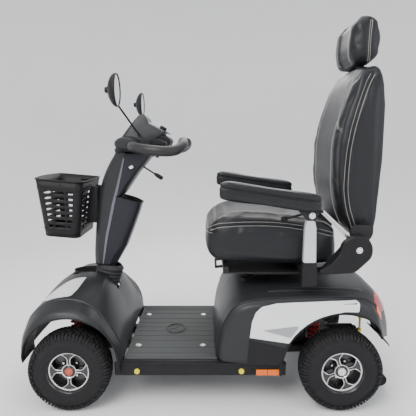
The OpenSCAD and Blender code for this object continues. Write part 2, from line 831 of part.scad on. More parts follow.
back_profile = [[-664, 672, 10], [-560, 692, 12], [-522, 777, 60], [-505, 905, 90], [-514, 1030, 200],
    [-546, 1185, 200], [-564, 1318, 16], [-648, 1318, 24], [-672, 1284, 60], [-685, 1180, 200],
    [-689, 982, 200], [-677, 829, 200]];
back_rear = [[-700, 660], [-648, 660], [-660, 829], [-672, 982], [-668, 1180], [-655, 1284], [-636, 1300],
    [-636, 1330], [-720, 1330]];
module back_volume(d) {
    intersection() {
        side(-back_half, back_half) outline(back_profile, d);
        front(-720, -480) outline(both_sides([[back_half - 22, 660, 0], [back_half, 760, 60],
            [back_half, 1130, 200], [back_half - 52, 1290, 60], [back_half - 96, 1322, 40]]), d);
    }
}
module backrest_shell() color("#26272a") {
    difference() {
        intersection() {
            back_volume(0);
            side(-300, 300) polygon(back_rear);
        }
        pair() upright(headrest_x, 70, 8, 1150, 1400);
    }
    pair() {
        // hinge plates and their spacers
        difference() {
            side(243, 249.4) outline([[-574, 617, 20], [-548, 641, 20], [-556, 690, 20], [-600, 770, 20],
                [-652, 776, 14], [-650, 740, 10], [-600, 640, 20]]);
            across(hinge_x, hinge_z, 8 + run, 240, 252);
        }
        across(-630, 755, 14, back_half - 6, 243);
    }
}

module backrest_cushion() color("#26272a") {
    difference() {
        back_volume(0);
        side(-300, 300) polygon([for (p = back_rear) p + [0.2, 0]]);
        pair() upright(headrest_x, 70, 8, 1150, 1400);
        pair() across(-630, 755, 15, back_half - 8, 300);
    }
}

module recline_lever() color("silver") {
    difference() {
        side(257, 261) union() {
            translate([-548, 668]) circle(r = 12);
            polygon([[-556, 677], [-494, 744], [-440, 790], [-432, 780], [-484, 734], [-538, 661]]);
        }
        across(-548, 668, 5 + run, 256, 262);
    }
    swept([[-442, 259, 783], [-352, 256, 770], [-300, 251, 756]], 3.5, sides = 8);
    translate([-294, 250, 754]) sphere(r = 13);
}

module headrest() color("#26272a") {
    pair() upright(headrest_x, 70, 6, 1170, 1350);
    intersection() {
        side(-140, 140) outline([[-676, 1384, 24], [-652, 1350, 20], [-584, 1346, 30], [-570, 1400, 60],
            [-576, 1500, 60], [-622, 1546, 30], [-670, 1516, 40]]);
        plan(1300, 1600) outline(around([[-566, 140, 20], [-600, 142, 20], [-682, 90, 60]]));
        front(-700, -500) outline(both_sides([[110, 1340, 0], [140, 1400, 40], [136, 1500, 40], [96, 1550, 40]]));
    }
}

module arm_post(s) color("#26272a") handed(s) {
    // bar in the seat frame's tube, and the upright receiver
    block([arm_x - 11.8, 100, 539], [arm_x + 11.8, 268, 554.2]);
    side(268, 302) outline([[-415, 500, 6], [-357, 500, 6], [-358, 590, 0], [-414, 590, 0]]);
    color("gainsboro") side(270, 300) outline([[-411, 590, 0], [-361, 590, 0], [-364, 730, 8],
        [-370, 756, 4], [-400, 756, 4], [-407, 730, 8]]);
    color("silver") {
        side(281, 289) union() {
            translate([arm_pivot_x, arm_pivot_z]) circle(r = 13);
            translate([arm_pivot_x - 11, 756]) square([22, 19]);
        }
        across(arm_pivot_x, arm_pivot_z, 7, 270.5, 302);
        across(arm_pivot_x, arm_pivot_z, 10.5, 302, 306);
    }
}
module arm_post_left() arm_post(1);
module arm_post_right() arm_post(-1);

module armrest(s) color("#26272a") handed(s) {
    side(arm_in, arm_out) outline([[-421, 795.5, 14], [-344, 795.5, 0], [-52, 838, 18], [-42, 890, 16],
        [-68, 910, 14], [-419, 855, 16]]);
    // bracket on the pivot
    for (y = [272, 291]) difference() {
        side(y, y + 7) union() {
            translate([arm_pivot_x, arm_pivot_z]) circle(r = 13);
            polygon([[arm_pivot_x - 13, arm_pivot_z], [arm_pivot_x + 13, arm_pivot_z - 2],
                [arm_pivot_x + 48, arm_pivot_z + 12], [arm_pivot_x + 48, 793], [arm_pivot_x - 13, 793]]);
        }
        across(arm_pivot_x, arm_pivot_z, 7 + run, y - 1, y + 8);
    }
    block([arm_pivot_x - 13, 272, 792], [arm_pivot_x + 60, 298, 795.5]);
}
module armrest_left() armrest(1);
module armrest_right() armrest(-1);

main_frame();
floor_pan();
floor_mat();
sill_rails();
front_cowl();
bonnet_panels();
lamps();
rear_cowl();
side_panels();
rear_skirts();
side_reflectors();
power_pack();
front_springs();
front_arm_left();
front_arm_right();
knuckle_left();
knuckle_right();
track_rod();
tyre_front_left();
tyre_front_right();
tyre_rear_left();
tyre_rear_right();
rim_front_left();
rim_front_right();
rim_rear_left();
rim_rear_right();
rear_swing_arm();
transaxle();
rear_springs();
freewheel_lever();
anti_tip_rollers();
steering_column();
steering_gaiter();
tiller_shell();
tiller_rear_cover();
console();
handlebar();
mirror_left();
mirror_right();
speed_dial();
throttle_paddles();
horn_button();
tilt_lever();
basket();
basket_handle();
seat_post();
swivel_plate();
seat_frame();
seat_cushion();
swivel_lever();
slide_lever();
hinge_covers();
backrest_shell();
backrest_cushion();
recline_lever();
headrest();
arm_post_left();
arm_post_right();
armrest_left();
armrest_right();
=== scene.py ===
"""Looks of a four-wheeled mobility scooter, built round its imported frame. Lengths in the shaping code are millimetres."""

import math

import bmesh
import bpy
from bpy.props import FloatProperty, FloatVectorProperty, IntProperty, PointerProperty
from mathutils import Matrix, Vector
from mathutils.bvhtree import BVHTree
from mathutils.kdtree import KDTree


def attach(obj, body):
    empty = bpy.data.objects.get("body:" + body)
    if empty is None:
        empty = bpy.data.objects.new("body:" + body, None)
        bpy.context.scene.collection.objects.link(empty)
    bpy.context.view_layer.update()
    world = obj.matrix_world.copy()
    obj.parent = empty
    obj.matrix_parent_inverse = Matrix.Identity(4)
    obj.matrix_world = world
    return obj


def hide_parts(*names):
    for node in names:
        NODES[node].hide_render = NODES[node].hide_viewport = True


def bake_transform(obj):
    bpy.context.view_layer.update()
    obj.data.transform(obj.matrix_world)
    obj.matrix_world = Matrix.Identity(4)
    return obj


bl_info = {
    "name": "Mobility Scooter",
    "version": (1, 0, 0),
    "blender": (4, 5, 0),
    "location": "3D View > Sidebar > Scooter",
    "description": "Builds the visible pieces of a mobility scooter round its packed frame",
    "category": "Add Mesh",
}

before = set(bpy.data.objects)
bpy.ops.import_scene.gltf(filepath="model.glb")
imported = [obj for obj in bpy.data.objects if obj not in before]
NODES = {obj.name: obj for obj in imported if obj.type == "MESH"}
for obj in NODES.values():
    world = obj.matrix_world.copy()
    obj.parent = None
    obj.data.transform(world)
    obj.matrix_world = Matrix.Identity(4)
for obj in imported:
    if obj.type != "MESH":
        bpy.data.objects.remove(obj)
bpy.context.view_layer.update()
SIDES = (("left", 1), ("right", -1))
MM = 0.001
FILL_FRAMES = 20


# ---- user values ----
class ScooterSizes(bpy.types.PropertyGroup):
    tyre_radius: FloatProperty(name="Tyre radius", description="Outside radius over the tread blocks", default=0.1625,
        min=0.15, max=0.17, unit="LENGTH")
    tread_rows: IntProperty(name="Tread pitches", description="Number of block groups round a tyre", default=34,
        min=20, max=60)
    bar_radius: FloatProperty(name="Handlebar radius", description="Radius of the padded handlebar", default=0.0195,
        min=0.015, max=0.021, unit="LENGTH")
    stitch_pitch: FloatProperty(name="Stitch pitch", description="Distance from one stitch to the next",
        default=0.0085, min=0.004, max=0.02, unit="LENGTH")
    cushion_swell: FloatProperty(name="Cushion swell", description="Furthest that the filling pushes the leather out",
        default=0.012, min=0.002, max=0.03, unit="LENGTH")
    mirror_radius: FloatProperty(name="Mirror radius", description="Radius of each mirror's rim", default=0.059,
        min=0.05, max=0.06, unit="LENGTH")


class ScooterColours(bpy.types.PropertyGroup):
    body: FloatVectorProperty(name="Body paint", description="Charcoal of the cowls and the tiller",
        default=(0.017, 0.018, 0.020), size=3, min=0, max=1, subtype="COLOR")
    panel: FloatVectorProperty(name="Panel paint", description="Bright silver of the bonnet and side panels",
        default=(0.78, 0.79, 0.80), size=3, min=0, max=1, subtype="COLOR")
    leather: FloatVectorProperty(name="Leather", description="Upholstery of the seat, backrest and armrests",
        default=(0.010, 0.011, 0.013), size=3, min=0, max=1, subtype="COLOR")
    thread: FloatVectorProperty(name="Thread", description="Pale stitches in the leather", default=(0.46, 0.45, 0.42),
        size=3, min=0, max=1, subtype="COLOR")
    rubber: FloatVectorProperty(name="Tyre rubber", description="Colour of the tyres", default=(0.012, 0.012, 0.013),
        size=3, min=0, max=1, subtype="COLOR")


def sizes():
    return bpy.context.scene.scooter_sizes


def colours():
    return bpy.context.scene.scooter_colours


# ---- finishes ----
def shaded(colour, factor):
    return (*(min(1.0, c * factor) for c in colour), 1.0)


def finish(name, colour, rough, metal=0.0, coat=0.0, mottle=0.14, mottle_scale=14.0, spread=0.07,
           grain=0.25, grain_scale=900.0, grain_depth=0.0003, cells=False, creases=0.0, sheen=0.0, clear=0.0,
               shine=0.5):
    """A finish with slow colour and gloss variation over the piece and a fine grain in its bump."""
    found = bpy.data.materials.get(name)
    if found:
        return found
    made = bpy.data.materials.new(name)
    made.use_nodes = True
    made.diffuse_color = shaded(colour, 1.0)
    nodes, links = made.node_tree.nodes, made.node_tree.links
    shader = nodes["Principled BSDF"]
    shader.inputs["Metallic"].default_value = metal
    shader.inputs["Coat Weight"].default_value = coat
    shader.inputs["Coat Roughness"].default_value = 0.18
    shader.inputs["Specular IOR Level"].default_value = shine
    shader.inputs["Sheen Weight"].default_value = sheen
    shader.inputs["Transmission Weight"].default_value = clear
    place = nodes.new("ShaderNodeTexCoord")
    cloud = nodes.new("ShaderNodeTexNoise")
    cloud.inputs["Scale"].default_value = mottle_scale
    cloud.inputs["Detail"].default_value = 4.0
    links.new(place.outputs["Object"], cloud.inputs["Vector"])
    tint = nodes.new("ShaderNodeMix")
    tint.data_type = "RGBA"
    tint.inputs[6].default_value = shaded(colour, 1 - mottle)
    tint.inputs[7].default_value = shaded(colour, 1 + mottle)
    links.new(cloud.outputs["Fac"], tint.inputs[0])
    links.new(tint.outputs[2], shader.inputs["Base Color"])
    gloss = nodes.new("ShaderNodeMapRange")
    gloss.inputs["To Min"].default_value = max(0.02, rough - spread)
    gloss.inputs["To Max"].default_value = min(1.0, rough + spread)
    links.new(cloud.outputs["Fac"], gloss.inputs["Value"])
    links.new(gloss.outputs["Result"], shader.inputs["Roughness"])
    fine = nodes.new("ShaderNodeTexVoronoi" if cells else "ShaderNodeTexNoise")
    fine.inputs["Scale"].default_value = grain_scale
    links.new(place.outputs["Object"], fine.inputs["Vector"])
    bump = nodes.new("ShaderNodeBump")
    bump.inputs["Strength"].default_value = grain
    bump.inputs["Distance"].default_value = grain_depth
    links.new(fine.outputs[0], bump.inputs["Height"])
    if creases:
        folds = nodes.new("ShaderNodeTexNoise")
        folds.inputs["Scale"].default_value = 22.0
        folds.inputs["Detail"].default_value = 2.0
        folds.inputs["Distortion"].default_value = 0.8
        links.new(place.outputs["Object"], folds.inputs["Vector"])
        soft = nodes.new("ShaderNodeBump")
        soft.inputs["Strength"].default_value = creases
        soft.inputs["Distance"].default_value = 0.006
        links.new(folds.outputs["Fac"], soft.inputs["Height"])
        links.new(bump.outputs["Normal"], soft.inputs["Normal"])
        links.new(soft.outputs["Normal"], shader.inputs["Normal"])
    else:
        links.new(bump.outputs["Normal"], shader.inputs["Normal"])
    return made


def body_paint():
    return finish("body_charcoal", colours().body, 0.42, coat=0.06, shine=0.3, mottle=0.10, mottle_scale=6,
        grain=0.35, grain_scale=1800, grain_depth=0.0002)


def panel_paint():
    return finish("panel_silver", colours().panel, 0.26, metal=0.15, coat=0.6, mottle=0.03, mottle_scale=5,
        spread=0.03, grain=0.06, grain_scale=1500)


def moulding():
    return finish("moulding_black", (0.010, 0.010, 0.011), 0.50, shine=0.22, mottle=0.2, grain=0.5, grain_scale=1100,
        cells=True)


def dark_side():
    return finish("tiller_side_black", (0.014, 0.015, 0.020), 0.42, shine=0.28, mottle=0.12, grain=0.4,
        grain_scale=1300, cells=True)


def leather():
    return finish("leather_black", colours().leather, 0.38, shine=0.3, mottle=0.16, mottle_scale=9, spread=0.08,
        grain=0.55, grain_scale=520, grain_depth=0.0005, cells=True, creases=0.12)


def thread():
    return finish("thread_grey", colours().thread, 0.7, mottle=0.1, grain=0.6, grain_scale=2400)


def tyre_rubber():
    return finish("tyre_rubber", colours().rubber, 0.72, shine=0.25, mottle=0.45, mottle_scale=30, spread=0.12,
        grain=0.5, grain_scale=700, grain_depth=0.0006)


def wheel_black():
    return finish("wheel_black", (0.012, 0.012, 0.013), 0.26, coat=0.5, mottle=0.1, grain=0.1)


def machined():
    return finish("machined_alloy", (0.80, 0.80, 0.81), 0.22, metal=1.0, mottle=0.05, mottle_scale=60, grain=0.3,
        grain_scale=1600)


def steel():
    return finish("zinc_steel", (0.56, 0.56, 0.57), 0.32, metal=1.0, mottle=0.14, mottle_scale=40, grain=0.25)


def chrome():
    return finish("chrome", (0.83, 0.83, 0.84), 0.10, metal=1.0, mottle=0.03, spread=0.03, grain=0.05)


def powder_coat():
    return finish("frame_powder_coat", (0.014, 0.014, 0.015), 0.5, shine=0.25, mottle=0.25, grain=0.6,
        grain_scale=600)


def spring_red():
    return finish("spring_red", (0.42, 0.015, 0.018), 0.35, coat=0.4, mottle=0.2, grain=0.3)


def mat_rubber():
    return finish("mat_rubber", (0.042, 0.044, 0.048), 0.6, shine=0.25, mottle=0.22, mottle_scale=20, grain=0.6,
        grain_scale=420, grain_depth=0.0008)


def signal_yellow():
    return finish("signal_yellow", (0.75, 0.66, 0.02), 0.35, coat=0.3, mottle=0.12)


def lens(name, colour, rough=0.12):
    return finish(name, colour, rough, coat=0.2, mottle=0.18, mottle_scale=45, grain=0.35, grain_scale=330,
        grain_depth=0.0015, cells=True)


# ---- shaping ----
def along(points, t):
    """The place at share t of a smooth line through the points."""
    last = len(points) - 1
    s = min(max(t, 0.0), 1.0) * last
    i = min(int(s), last - 1)
    f = s - i
    b, c = Vector(points[i]), Vector(points[i + 1])
    a = Vector(points[i - 1]) if i else 2 * b - c
    d = Vector(points[i + 2]) if i + 2 <= last else 2 * c - b
    return 0.5 * (2 * b + (c - a) * f + (2 * a - 5 * b + 4 * c - d) * f ** 2 + (3 * b - a - 3 * c + d) * f ** 3)


def line(points, steps):
    return [along(points, k / steps) for k in range(steps + 1)]


def rounded(corners, radius, steps=5):
    """A closed outline whose corners are rounded."""
    made, n = [], len(corners)
    for i, corner in enumerate(corners):
        here = Vector(corner[:2])
        r = corner[2] if len(corner) > 2 else radius
        before, after = Vector(corners[i - 1][:2]) - here, Vector(corners[(i + 1) % n][:2]) - here
        reach = min(r, before.length * 0.45, after.length * 0.45)
        if reach < 0.2:
            made.append(here)
            continue
        start, end = here + before.normalized() * reach, here + after.normalized() * reach
        for k in range(steps + 1):
            f = k / steps
            made.append(start * (1 - f) ** 2 + here * 2 * f * (1 - f) + end * f ** 2)
    return made


def rails(table, u, v):
    return along([along(rail, u) for rail in table], v)


def patch(across_steps, along_steps, place):
    """A grid whose points are moved to place(u, v)."""
    bm = bmesh.new()
    bmesh.ops.create_grid(bm, x_segments=across_steps, y_segments=along_steps, size=0.5)
    for v in bm.verts:
        v.co = place(v.co.x + 0.5, v.co.y + 0.5)
    return bm


def mirrored(bm, merge=0.05):
    bmesh.ops.mirror(bm, geom=bm.verts[:] + bm.edges[:] + bm.faces[:], axis="Y", merge_dist=merge)
    return bm


def heading(direction, up=Vector((0, 0, 1))):
    z = Vector(direction).normalized()
    x = up.cross(z)
    if x.length < 1e-3:
        x = Vector((1, 0, 0)).cross(z)
    x.normalize()
    return Matrix((x, z.cross(x), z)).transposed()


def tube(bm, path, radius, sides=14, caps=True, up=Vector((0, 0, 1)), flat=1.0):
    """A round or flattened bar along the path; radius is one number or one for each point."""
    radii = radius if isinstance(radius, (list, tuple)) else [radius] * len(path)
    frames = []
    for i, p in enumerate(path):
        ahead = Vector(path[min(i + 1, len(path) - 1)]) - Vector(path[max(i - 1, 0)])
        turn = heading(ahead, up).to_4x4() @ Matrix.Diagonal((radii[i], radii[i] * flat, radii[i], 1))
        frames.append(Matrix.Translation(p) @ turn)
    start = bmesh.ops.create_circle(bm, cap_ends=caps, segments=sides, radius=1, matrix=frames[0])
    ring = [v for v in start["verts"]]
    edges = [e for e in bm.edges if e.verts[0] in ring and e.verts[1] in ring]
    if caps:
        edges = [e for e in edges if len(e.link_faces) == 1]
    for before, now in zip(frames, frames[1:]):
        grown = bmesh.ops.extrude_edge_only(bm, edges=edges)["geom"]
        ring = [g for g in grown if isinstance(g, bmesh.types.BMVert)]
        edges = [g for g in grown if isinstance(g, bmesh.types.BMEdge) and g.verts[0] in ring and g.verts[1] in ring]
        bmesh.ops.transform(bm, matrix=now @ before.inverted(), verts=ring)
    if caps:
        bmesh.ops.edgeloop_fill(bm, edges=edges)
    return bm


def turned(bm, profile, centre, axis, steps=48):
    """Spins a profile of (radius, distance along the axis) round the axis through centre."""
    frame_of = Matrix.Translation(centre) @ heading(axis).to_4x4()
    verts = [bm.verts.new(frame_of @ Vector((r, 0, h))) for r, h in profile]
    edges = [bm.edges.new(pair) for pair in zip(verts, verts[1:])]
    bmesh.ops.spin(bm, geom=verts + edges, cent=centre, axis=axis, angle=math.tau, steps=steps, use_merge=True)
    return bm


def slab(bm, outline, y0, y1, bevel=2.0, segments=3, plane="xz", material=-1):
    """An outline given a thickness, with its edges bevelled."""
    def lift(p, y):
        return Vector((p[0], y, p[1])) if plane == "xz" else Vector((p[0], p[1], y)) if plane == "xy" else Vector((y,
            p[0], p[1]))
    base = bm.faces.new([bm.verts.new(lift(p, y0)) for p in outline])
    grown = bmesh.ops.extrude_face_region(bm, geom=[base])["geom"]
    verts = [g for g in grown if isinstance(g, bmesh.types.BMVert)]
    bmesh.ops.translate(bm, vec=lift((0, 0), y1) - lift((0, 0), y0), verts=verts)
    if bevel:
        faces = [base] + [g for g in grown if isinstance(g, bmesh.types.BMFace)]
        rims = list({e for f in faces for e in f.edges})
        bmesh.ops.bevel(bm, geom=rims, offset=bevel, segments=segments, profile=0.5, affect="EDGES",
            material=material, clamp_overlap=True)
    return bm


def block(bm, low, high, bevel=1.5, segments=2):
    made = bmesh.ops.create_cube(bm, size=1)["verts"]
    low, high = Vector(low), Vector(high)
    bmesh.ops.scale(bm, vec=high - low, verts=made)
    bmesh.ops.translate(bm, vec=(high + low) / 2, verts=made)
    if bevel:
        edges = list({e for v in made for e in v.link_edges})
        bmesh.ops.bevel(bm, geom=edges, offset=bevel, segments=segments, profile=0.5, affect="EDGES", material=-1,
            clamp_overlap=True)
    return bm


def ball(bm, centre, radius, stretch=(1, 1, 1)):
    made = bmesh.ops.create_uvsphere(bm, u_segments=24, v_segments=14, radius=radius)["verts"]
    bmesh.ops.scale(bm, vec=stretch, verts=made)
    bmesh.ops.translate(bm, vec=centre, verts=made)
    return bm


def cut_up(bm, spacing, axes):
    """Cuts flat faces into cells so that they can follow a curved surface."""
    for axis in axes:
        values = [v.co[axis] for v in bm.verts]
        place = min(values) + spacing
        while place < max(values):
            normal = Vector((0, 0, 0))
            normal[axis] = 1
            point = normal * place
            bmesh.ops.bisect_plane(bm, geom=bm.verts[:] + bm.edges[:] + bm.faces[:], plane_co=point, plane_no=normal)
            place += spacing
    return bm


def draped(bm, surface, direction, proud):
    """Drops every point on to the surface along direction and leaves it a little proud."""
    way = Vector(direction)
    for v in bm.verts:
        for rise in range(0, 120, 4):
            up = Vector((0, 0, rise))
            hit = surface.ray_cast(v.co - way * 1000 + up, way)[0]
            if hit:
                v.co = hit - up - way * proud
                break
    return bm


def settle(name, bm, finishes, body, slot=None, stands_for=(), smooth=35, wall=0.0, bevel=0.0, soften=0, clean=True,
        recalc=True):
    """Turns the shaped mesh into a piece that rides on its body."""
    if clean:
        bmesh.ops.remove_doubles(bm, verts=bm.verts, dist=0.02)
    if recalc:
        bmesh.ops.recalc_face_normals(bm, faces=bm.faces)
    bmesh.ops.scale(bm, vec=(MM, MM, MM), verts=bm.verts)
    for f in bm.faces:
        f.smooth = True
    limit = math.radians(smooth)
    for e in bm.edges:
        if len(e.link_faces) == 2 and e.calc_face_angle(0) > limit:
            e.smooth = False
    mesh = bpy.data.meshes.new(name)
    bm.to_mesh(mesh)
    bm.free()
    piece = bpy.data.objects.new(name, mesh)
    bpy.context.scene.collection.objects.link(piece)
    for one in finishes if isinstance(finishes, (list, tuple)) else [finishes]:
        mesh.materials.append(one)
    if wall:
        solid = piece.modifiers.new("Wall", "SOLIDIFY")
        solid.thickness, solid.offset, solid.use_even_offset = wall * MM, -1, True
    if bevel:
        edge = piece.modifiers.new("Edges", "BEVEL")
        edge.width, edge.segments, edge.limit_method, edge.angle_limit = bevel * MM, 2, "ANGLE", math.radians(40)
        edge.harden_normals = False
    if soften:
        sub = piece.modifiers.new("Soften", "SUBSURF")
        sub.levels = sub.render_levels = soften
    if body:
        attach(piece, body)
    if stands_for:
        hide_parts(*stands_for)
    return piece


def dress(finish_of, *names):
    """Gives carried-over frame nodes a finish."""
    for name in names:
        shown = NODES[name]
        if not shown.material_slots:
            shown.data.materials.append(finish_of)
        for place in shown.material_slots:
            place.material = finish_of


def stitches(bm, path, pitch, lift=0.6, radius=0.9):
    """Short raised stitches along a path of (place, outward direction)."""
    spare, step = 0.0, pitch
    for (a, na), (b, nb) in zip(path, path[1:]):
        span = (b - a).length
        while spare <= span and span > 1e-6:
            f = spare / span
            centre, out = a.lerp(b, f), na.lerp(nb, f).normalized()
            way = (b - a).normalized()
            turn = Matrix((way, out.cross(way), out)).transposed().to_4x4()
            made = bmesh.ops.create_cube(bm, size=1)["verts"]
            bmesh.ops.scale(bm, vec=(pitch * 0.62, radius * 1.7, radius * 1.7), verts=made)
            bmesh.ops.transform(bm, matrix=Matrix.Translation(centre + out * lift) @ turn, verts=made)
            spare += step
        spare -= span
    return bm


def traced(surface, points, direction, steps=60, loft=0.0):
    """Follows a line drawn on a surface: places and outward directions where rays along direction meet it."""
    way = Vector(direction)
    path = []
    for p in line(points, steps):
        hit, normal, _, _ = surface.ray_cast(p - way * 600, way)
        if hit:
            out = -normal if normal.dot(way) > 0 else normal
            path.append((hit + out * loft, out))
    return path


def surface_of(piece):
    """The finished surface of a piece, in millimetres, for tracing lines on it."""
    bm = bmesh.new()
    bm.from_object(piece, bpy.context.evaluated_depsgraph_get())
    bmesh.ops.scale(bm, vec=(1 / MM, 1 / MM, 1 / MM), verts=bm.verts)
    tree = BVHTree.FromBMesh(bm)
    bm.free()
    return tree


def puffed(piece, voxel, cap, held=None, pressure=4.0):
    """Fills a cushion: remeshes it and lets the filling push the leather out between its held seams."""
    bpy.context.view_layer.objects.active = piece
    remesh = piece.modifiers.new("Remesh", "REMESH")
    remesh.mode, remesh.voxel_size = "VOXEL", voxel * MM
    bpy.context.view_layer.update()
    fresh = bpy.data.meshes.new_from_object(piece.evaluated_get(bpy.context.evaluated_depsgraph_get()))
    piece.modifiers.clear()
    piece.data = fresh
    rest = [v.co.copy() for v in fresh.vertices]
    cloth = piece.modifiers.new("Cloth", "CLOTH")
    cloth.settings.use_pressure = True
    cloth.settings.uniform_pressure_force = pressure
    cloth.settings.effector_weights.gravity = 0
    cloth.settings.quality = 4
    cloth.settings.tension_stiffness = cloth.settings.compression_stiffness = 12
    cloth.collision_settings.use_collision = False
    cloth.point_cache.frame_start, cloth.point_cache.frame_end = 1, FILL_FRAMES
    if held:
        group = piece.vertex_groups.new(name="seams")
        for i, co in enumerate(rest):
            grip = held(co / MM)
            if grip > 0:
                group.add([i], grip, "REPLACE")
        cloth.settings.vertex_group_mass = "seams"
    for step in range(1, FILL_FRAMES + 1):
        bpy.context.scene.frame_set(step)
    moved = piece.evaluated_get(bpy.context.evaluated_depsgraph_get()).data
    places = [v.co.copy() for v in moved.vertices]
    piece.modifiers.clear()
    for v, a, b in zip(fresh.vertices, rest, places):
        push = b - a
        v.co = a + (push if push.length < cap else push.normalized() * cap)
    piece.vertex_groups.clear()
    bpy.context.scene.frame_set(1)
    bm = bmesh.new()
    bm.from_mesh(piece.data)
    for _ in range(3):
        bmesh.ops.smooth_vert(bm, verts=bm.verts, factor=0.5, use_axis_x=True, use_axis_y=True, use_axis_z=True)
    for f in bm.faces:
        f.smooth = True
        f.material_index = 0
    bm.to_mesh(piece.data)
    bm.free()
    return piece


def pillow(place, cuts=11, power=5.0):
    """A closed cushion form: a cube rounded to a pillow and moved to place(x, y, z), each from -1 to 1."""
    bm = bmesh.new()
    bmesh.ops.create_cube(bm, size=2)
    bmesh.ops.subdivide_edges(bm, edges=bm.edges, cuts=cuts, use_grid_fill=True)
    for v in bm.verts:
        p = v.co
        most = max(abs(c) for c in p)
        size = sum(abs(c) ** power for c in p) ** (1 / power)
        v.co = place(*(p * most / size))
    return bm


def ramp(x, pairs):
    """Smooth value at x between (x, value) pairs in rising order of x."""
    if x <= pairs[0][0]:
        return pairs[0][1]
    for (a, p), (b, q) in zip(pairs, pairs[1:]):
        if x <= b:
            f = (x - a) / (b - a)
            return p + (q - p) * f
    return pairs[-1][1]


def bulge(x, pairs):
    """Like ramp, with an eased passage through each pair."""
    if x <= pairs[0][0]:
        return pairs[0][1]
    for (a, p), (b, q) in zip(pairs, pairs[1:]):
        if x <= b:
            f = (x - a) / (b - a)
            return p + (q - p) * f * f * (3 - 2 * f)
    return pairs[-1][1]


# ---- wheels ----
WHEELS = (("front_left", 542, 1), ("front_right", 542, -1), ("rear_left", -521, 1), ("rear_right", -521, -1))
AXLE = 162.5
CARCASS = ((84.6, -44), (86, -47), (92, -49), (104, -49.6), (118, -49.2), (132, -47.5), (143, -43.5), (150, -36),
    (153.5, -24),
           (155, -10), (155, 10), (153.5, 24), (150, 36), (143, 43.5), (132, 47.5), (118, 49.2), (104, 49.6),
               (92, 49), (86, 47), (84.6, 44))


def wheel_body(name):
    return "wheel_" + name


def tread_block(bm, turn, lateral, length, width, foot, crown, skew=0.0, lean=0.0):
    """One rubber block: its foot is sunk in the carcass and its crown is smaller."""
    made = bmesh.ops.create_cube(bm, size=1)["verts"]
    for v in made:
        top = v.co.z > 0
        share = 0.84 if top else 1.04
        s, y = v.co.x * length * share, v.co.y * width * share
        radius = (crown if top else foot) - abs(lateral + y) * lean
        angle = turn + (s + skew * y) / 155
        v.co = Vector((radius * math.cos(angle), lateral + y, radius * math.sin(angle)))


def shoulder_block(bm, turn, side, length, reach):
    """A block wrapped over the shoulder, from the crown down the side wall."""
    outline = ((30, 159.2), (40, 157.0), (47.5, 150.5), (50.0, 141.0 - reach), (47.5, 140.0 - reach), (43, 150),
        (36, 153), (28, 155))
    base = bm.faces.new([bm.verts.new((r, side * y, 0)) for y, r in outline])
    grown = bmesh.ops.extrude_face_region(bm, geom=[base])["geom"]
    far = [g for g in grown if isinstance(g, bmesh.types.BMVert)]
    near = list(base.verts)
    for group, sign in ((near, -1), (far, 1)):
        for v in group:
            shrink = 0.86 if v.co.x > 155 else 1.0
            angle = turn + sign * length * shrink / 2 / 155
            v.co = Vector((v.co.x * math.cos(angle), v.co.y, v.co.x * math.sin(angle)))


class SCOOTER_OT_tyres(bpy.types.Operator):
    """Four off-road tyres with separate tread blocks"""
    bl_idname = "scooter.tyres"
    bl_label = "Tyres"

    def execute(self, context):
        pitches = sizes().tread_rows
        grow = sizes().tyre_radius / MM - 162.5
        for name, x, side in WHEELS:
            bm = bmesh.new()
            turned(bm, [(r, h) for r, h in CARCASS], Vector(), Vector((0, 1, 0)), 90)
            for ring in (96, 112):
                tube(bm, [Vector((ring * math.cos(a * math.tau / 72), 49.4,
                    ring * math.sin(a * math.tau / 72))) for a in range(73)], 0.9, 6, False, Vector((0, 1, 0)))
            for k in range(pitches):
                turn = k * math.tau / pitches
                half = math.pi / pitches
                for s in (-1, 1):
                    off = half if s > 0 else 0
                    tread_block(bm, turn + off, s * 6.5, 17, 11, 150, 161.6 + grow, 0.45 * s)
                    tread_block(bm, turn + off + half * 0.9, s * 19.5, 15, 10.5, 149, 160.8 + grow, -0.4 * s)
                    shoulder_block(bm, turn + off, s, 12.5, 4)
                    shoulder_block(bm, turn + off + half, s, 9.5, -1)
                    for j in range(2):
                        fin = turn + off + (j + 0.5) * half
                        tube(bm, [Vector((r * math.cos(fin), s * y, r * math.sin(fin))) for r,
                            y in ((124, 48.2), (136, 46.2))], 1.5, 5)
            bmesh.ops.translate(bm, vec=(x, side * 285, AXLE), verts=bm.verts)
            settle("tyre_tread_" + name, bm, tyre_rubber(), wheel_body(name), "tyre", ("tyre_" + name,), smooth=30,
                recalc=True)
        return {"FINISHED"}


